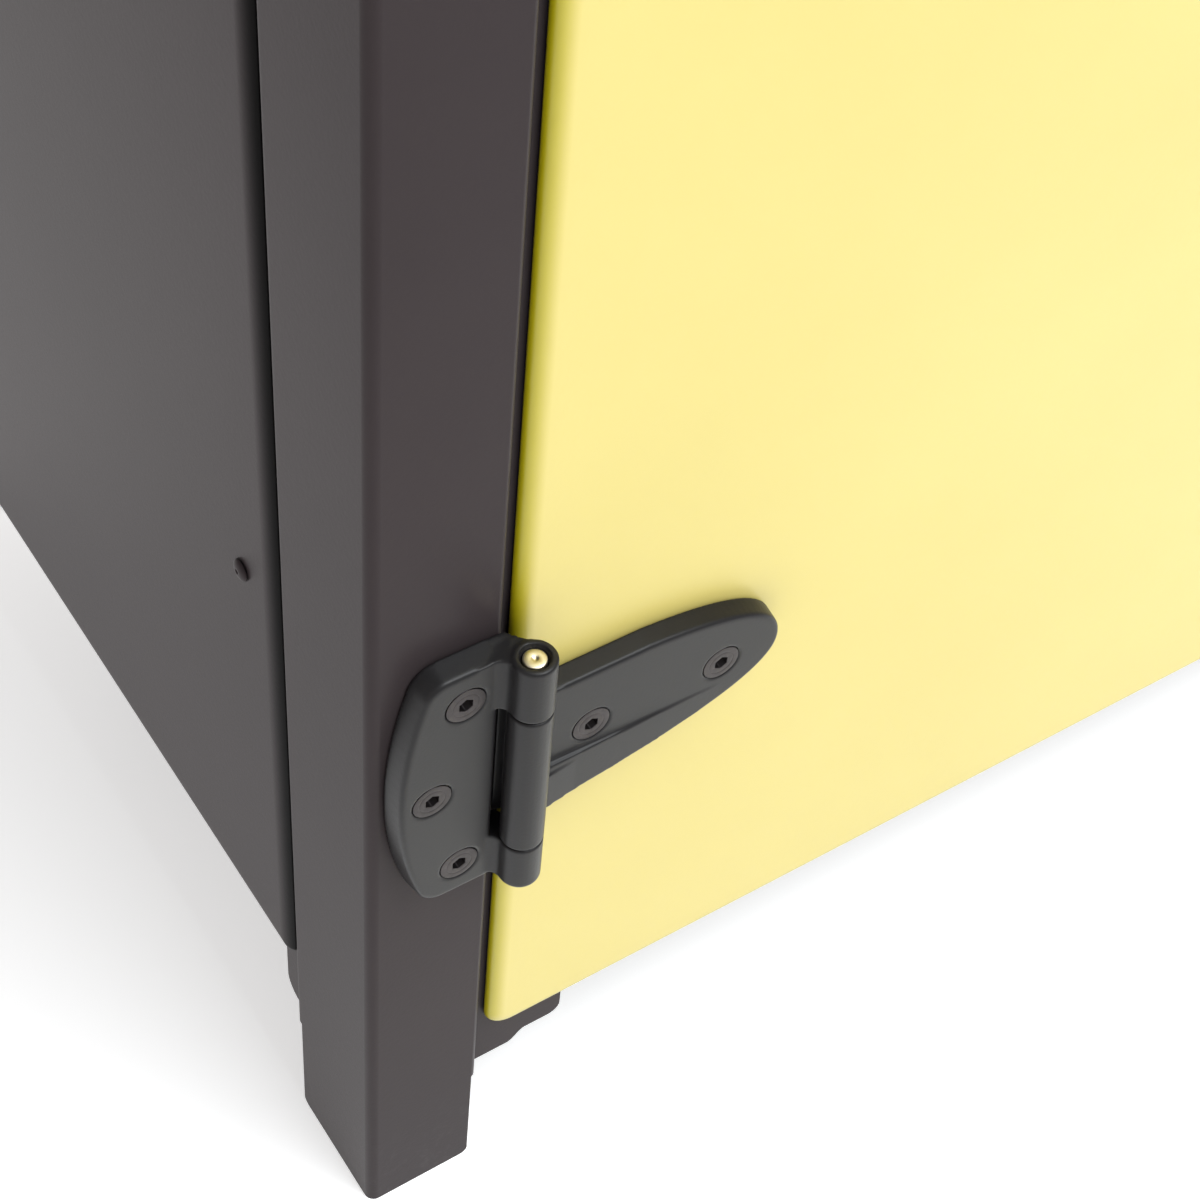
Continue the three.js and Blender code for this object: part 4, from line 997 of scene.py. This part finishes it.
def lock_handle():
    """The handle: a turned hub and a lever whose section is a squared oval. The lever's half
    height is 9 + 3.4 (1 - s) squared, and its tip closes as a quarter of an ellipse."""
    centre = (LOCK_X, 0.0, LOCK_Z)
    hub = [(0.0, 2.5), (12.0, 2.5), (12.0, -6.6), (HUB - 1.0, -6.6), (HUB, -7.6),
           *[(HUB - i, -HUB_FRONT + d) for i, d in rounding(2.5)[::-1]], (0.0, -HUB_FRONT)]
    s = np.linspace(0, 1, 30)
    end = np.sqrt(np.clip(1 - ((s - 0.91) / 0.09).clip(0, 1) ** 2, 0, 1)).clip(0.02)
    half_height = (9.0 + 3.4 * (1 - s) ** 2) * end
    half_thick = 6.3 * end
    t = np.linspace(0, 2 * math.pi, 40, endpoint=False)
    c, w = np.cos(t), np.sin(t)
    grid = np.empty((len(s), len(t), 3))
    grid[..., 0] = LOCK_X - 2.0 - s[:, None] * (LEVER - 2.0)
    grid[..., 1] = -HUB_FRONT + 6.5 + half_thick[:, None] * np.sign(c) * np.abs(c) ** 0.6
    grid[..., 2] = LOCK_Z + half_height[:, None] * np.sign(w) * np.abs(w) ** 0.8
    lever = closed_skin(grid)
    square = np.array([(-3.5, -3.5), (3.5, -3.5), (3.5, 3.5), (-3.5, 3.5)]) + (LOCK_X, LOCK_Z)
    spindle = drawn_along(square, 1, 0.0, 27.0)
    bore_radius = CYLINDER + 0.35
    bore = turned([(bore_radius, -HUB_FRONT - 2), (bore_radius, -HUB_FRONT / 2)], centre, 1, 48)
    tapped = turned([(2.3, 15.0), (2.3, 30.0)], centre, 1, 24)
    solids = [turned(hub, centre, 1, 64), lever, spindle]
    return fused("lock_lever", solids, [bore, tapped], voxel=0.6, passes=4)


def lock_cylinder():
    """The key cylinder, with a keyway across its face."""
    face, back = HUB_FRONT + 1.0, -HUB_FRONT / 2 - SEAT
    profile = [(0.0, back), (CYLINDER, back), (CYLINDER, -face + 0.5), (CYLINDER - 0.5, -face),
               (6.3, -face), (6.1, -face + 0.35), (5.9, -face + 0.35), (5.7, -face), (0.0, -face)]
    body = turned(profile, (LOCK_X, 0.0, LOCK_Z), 1, 64)
    keyway = np.array([(-0.9, -4.5), (0.9, -4.5), (0.9, 1.0), (0.35, 1.6), (0.9, 2.2),
                       (0.9, 4.5), (-0.9, 4.5)]) + (LOCK_X, LOCK_Z)
    key = drawn_along(keyway, 1, -face - 2.0, -HUB_FRONT + 3.0)
    return fused("lock_cylinder", [body], [key], voxel=0.28, passes=2)


def escutcheon():
    """The lock's plate: a rounded rectangle with soft edges round a circular opening."""
    sides, corner, opening = front_sides("lock_escutcheon"), 12.0, 12.6
    back, front = -SEAT, -SEAT - 6.0
    hole = (LOCK_X - opening, LOCK_X + opening, LOCK_Z - opening, LOCK_Z + opening,
            opening - 0.01)
    edge = [(i, front + d) for i, d in rounding(2.2)]
    stations = [(*hole, front),
                *[inset_station(sides, corner, i, w)
                  for i, w in [(4.5, front), *edge, (0.0, back)]],
                (*hole, back)]
    return skin(lofted(stations, "front", 12), wrap_rows=True, wrap_columns=True)


# ------------------------------------------------------------------ letter slot

def bezel():
    """The slot's frame: round its outer edge, over the rim, down into the recess and back
    through the throat's sleeve."""
    left, right, low, high = outer = front_sides("slot_bezel")
    recess = (left + 10.0, right - 10.0, low + 10.0, high - 5.0)
    sleeve = about_slot(OPENING_X - SLEEVE_GAP, OPENING_Z - SLEEVE_GAP)
    back, front, floor, throat = -SEAT, -SEAT - 10.0, -SEAT - 3.0, 14.0
    rim = [(0.0, back), *[(i, front + d) for i, d in rounding(3.0)[::-1]]]
    lip = [*[(-i, front + d) for i, d in rounding(1.2)], (0.0, floor)]
    inside = [(1.6, floor), (1.6, throat), (0.0, throat), (0.0, back)]
    stations = [inset_station(sides, corner, i, w) for sides, corner, line in (
        (outer, 10.0, rim), (recess, 2.5, lip), (sleeve, 2.0, inside)) for i, w in line]
    return skin(lofted(stations, "front"), wrap_rows=True, wrap_columns=True)


def flap():
    """The flap: a plate with a folded grip along its foot and a barrel in two lengths, which
    leave the middle of the rod free for the spring."""
    left, right, bottom, _ = front_sides("mail_flap")
    top = FLAP_Z - 5.5
    plate = bent_line([
        (FLAP_Y, top, 0), (FLAP_Y + 1.2, top, 0.4), (FLAP_Y + 1.2, bottom, 0.8),
        (FLAP_Y - 3.2, bottom, 0.8), (FLAP_Y - 3.2, bottom + 3.0, 0.8),
        (FLAP_Y - 1.2, bottom + 3.4, 0.6), (FLAP_Y - 1.2, top, 0.4), (FLAP_Y - 0.1, top, 0)], 3)
    strip = np.array([(FLAP_Y + 1.0, FLAP_Z - 1.0), (FLAP_Y + 1.0, FLAP_Z - 7.0),
                      (FLAP_Y - 1.0, FLAP_Z - 7.0), (FLAP_Y - 1.0, FLAP_Z - 1.0)])
    forms = [drawn_along(plate, 0, left, right)]
    spring_half = 13.0
    for low, high in ((left + SEAT, SLOT_X - spring_half), (SLOT_X + spring_half, right - SEAT)):
        forms.append(drawn_along(strip, 0, low, high))
        barrel = [(2.6, low), (3.0, low + 0.4), (3.0, high - 0.4), (2.6, high), (1.8, high),
                  (1.8, low)]
        forms.append(turned(barrel, (0.0, FLAP_Y, FLAP_Z), 0, 32, closed=True))
    return together(*forms)


def name_card():
    """A blank name holder: a plate with a raised rim round a lower field."""
    back, front = -SEAT, -SEAT - 1.6
    edge = [(i, front + d) for i, d in rounding(0.6)[::-1]]
    stations = [inset_station(front_sides("name_plate"), 4.0, i, w)
                for i, w in [(0.0, back), *edge, (2.0, front), (2.5, front + 0.7)]]
    return closed_skin(lofted(stations, "front"))


make_posts()
make_panels()
show("roof_hood", roof(), "cabinet", "grey_coat", "roof_cover")
show("door_skin", pan(front_sides("door_panel"), DOOR_CORNER, DOOR_EDGE, DOOR_SPREAD,
                      DOOR_RETURN, "front"), "door", "yellow_coat", "door_panel")
make_hinges()
piece("lock_lever", lock_handle(), "handle", "black_moulding", ["lock_handle"])
piece("lock_cylinder", lock_cylinder(), "key_cylinder", "satin_nickel", ["key_cylinder"])
show("lock_plate", escutcheon(), "door", "black_moulding", "lock_escutcheon")
show("slot_frame", bezel(), "cabinet", "black_moulding", "slot_bezel")
show("letter_flap", flap(), "mail_flap", "black_moulding", "mail_flap")
show("name_holder", name_card(), "cabinet", "bright_zinc", "name_plate")

# The CAD nodes whose own mesh stays in view, by finish.
KEPT = {
    "grey_coat": ["floor_tray", "ceiling_tray", "sill_rail", "lintel_rail", "mail_chute"],
    "yellow_coat": ["door_liner"],
    "bright_zinc": ["lock_keeper", "lock_cam", "cam_screw", "flap_rod", "flap_spring",
                    *(f"foot_plate_{end}_{side}" for end in ("front", "rear")
                      for side in ("left", "right")),
                    *(f"{kind}_{place}" for kind in ("lock_rod", "rod_guide")
                      for place in ("upper", "lower"))],
    "gasket_rubber": ["door_gasket"],
}
for slot, names in KEPT.items():
    for name in names:
        kept = nodes[name].data.materials
        kept.clear()
        kept.append(MATERIALS[slot])


# ------------------------------------------------------------------ floor, light and camera

# Each lamp's name, place, aim, size in metres, power in watts and tint.
LAMPS = (("over", (0.35, -1.0, 2.0), (0.1, -0.5, 0.0), 1.3, 48.0, (0.94, 0.98, 1.0)),
         ("left", (-2.4, -0.9, 1.3), (0.0, 0.0, 0.4), 1.8, 3.5, (1.0, 0.7, 0.62)),
         ("back", (1.5, 2.6, 2.0), (0.0, 0.0, 0.5), 1.6, 70.0, (1.0, 0.98, 0.96)))
FLOOR_REACH = 30.0
# Above this share of its look going down, a lamp is squared to Y instead of to Z.
NEARLY_DOWN = 0.9

# The camera's place in metres, and how far it is turned, tilted and tipped, in degrees.
CAMERA_PLACE = (-0.44193, -0.52168, 0.77825)
CAMERA_ANGLES = (37.562, 49.549, 6.122)


def placed(axes, spot):
    """A matrix that turns an object to three axes and puts it at a spot."""
    matrix = Matrix(np.column_stack(axes).tolist()).to_4x4()
    matrix.translation = spot
    return matrix


def make_stage():
    """A plain pale floor, a soft sky and three large soft lamps."""
    data = bpy.data.meshes.new("studio_floor")
    corners = [(a * FLOOR_REACH, b * FLOOR_REACH, 0)
               for a, b in ((-1, -1), (1, -1), (1, 1), (-1, 1))]
    data.from_pydata(corners, [], [(0, 1, 2, 3)])
    floor = linked("studio_floor", data)
    data.materials.append(start_material(
        "studio_floor", Base_Color=(0.85, 0.85, 0.85, 1.0), Roughness=0.7,
        Emission_Color=(1.0, 1.0, 1.0, 1.0), Emission_Strength=0.48)[0])
    world = bpy.data.worlds.new("studio")
    world.use_nodes = True
    sky = world.node_tree.nodes["Background"].inputs
    sky["Color"].default_value = (1.0, 0.99, 0.98, 1.0)
    sky["Strength"].default_value = 0.5
    bpy.context.scene.world = world
    for name, spot, aim, size, power, tint in LAMPS:
        lamp = bpy.data.lights.new(f"lamp_{name}", "AREA")
        lamp.shape, lamp.size, lamp.energy, lamp.color = "SQUARE", size, power, tint
        stand = linked(f"lamp_{name}", lamp)
        back = np.array(spot) - np.array(aim)
        back /= np.linalg.norm(back)
        across = np.cross((0.0, 1.0, 0.0) if back[2] > NEARLY_DOWN else (0.0, 0.0, 1.0), back)
        across /= np.linalg.norm(across)
        stand.matrix_world = placed([across, np.cross(back, across), back], spot)


def make_camera():
    """The camera stands high at the front left and looks down, tipped a little clockwise."""
    turn, down, tip = np.radians(CAMERA_ANGLES)
    ahead = np.array([math.cos(down) * math.sin(turn), math.cos(down) * math.cos(turn),
                      -math.sin(down)])
    level = np.array([math.cos(turn), -math.sin(turn), 0.0])
    up = np.cross(level, ahead)
    across = math.cos(tip) * level + math.sin(tip) * up
    upright = math.cos(tip) * up - math.sin(tip) * level
    lens = bpy.data.cameras.new("camera")
    lens.lens, lens.sensor_width, lens.clip_end = 75.0, 36.0, 50.0
    camera = linked("camera", lens)
    camera.matrix_world = placed([across, upright, -ahead], CAMERA_PLACE)
    bpy.context.scene.camera = camera


make_stage()
make_camera()
bpy.context.scene.view_settings.view_transform = "Standard"
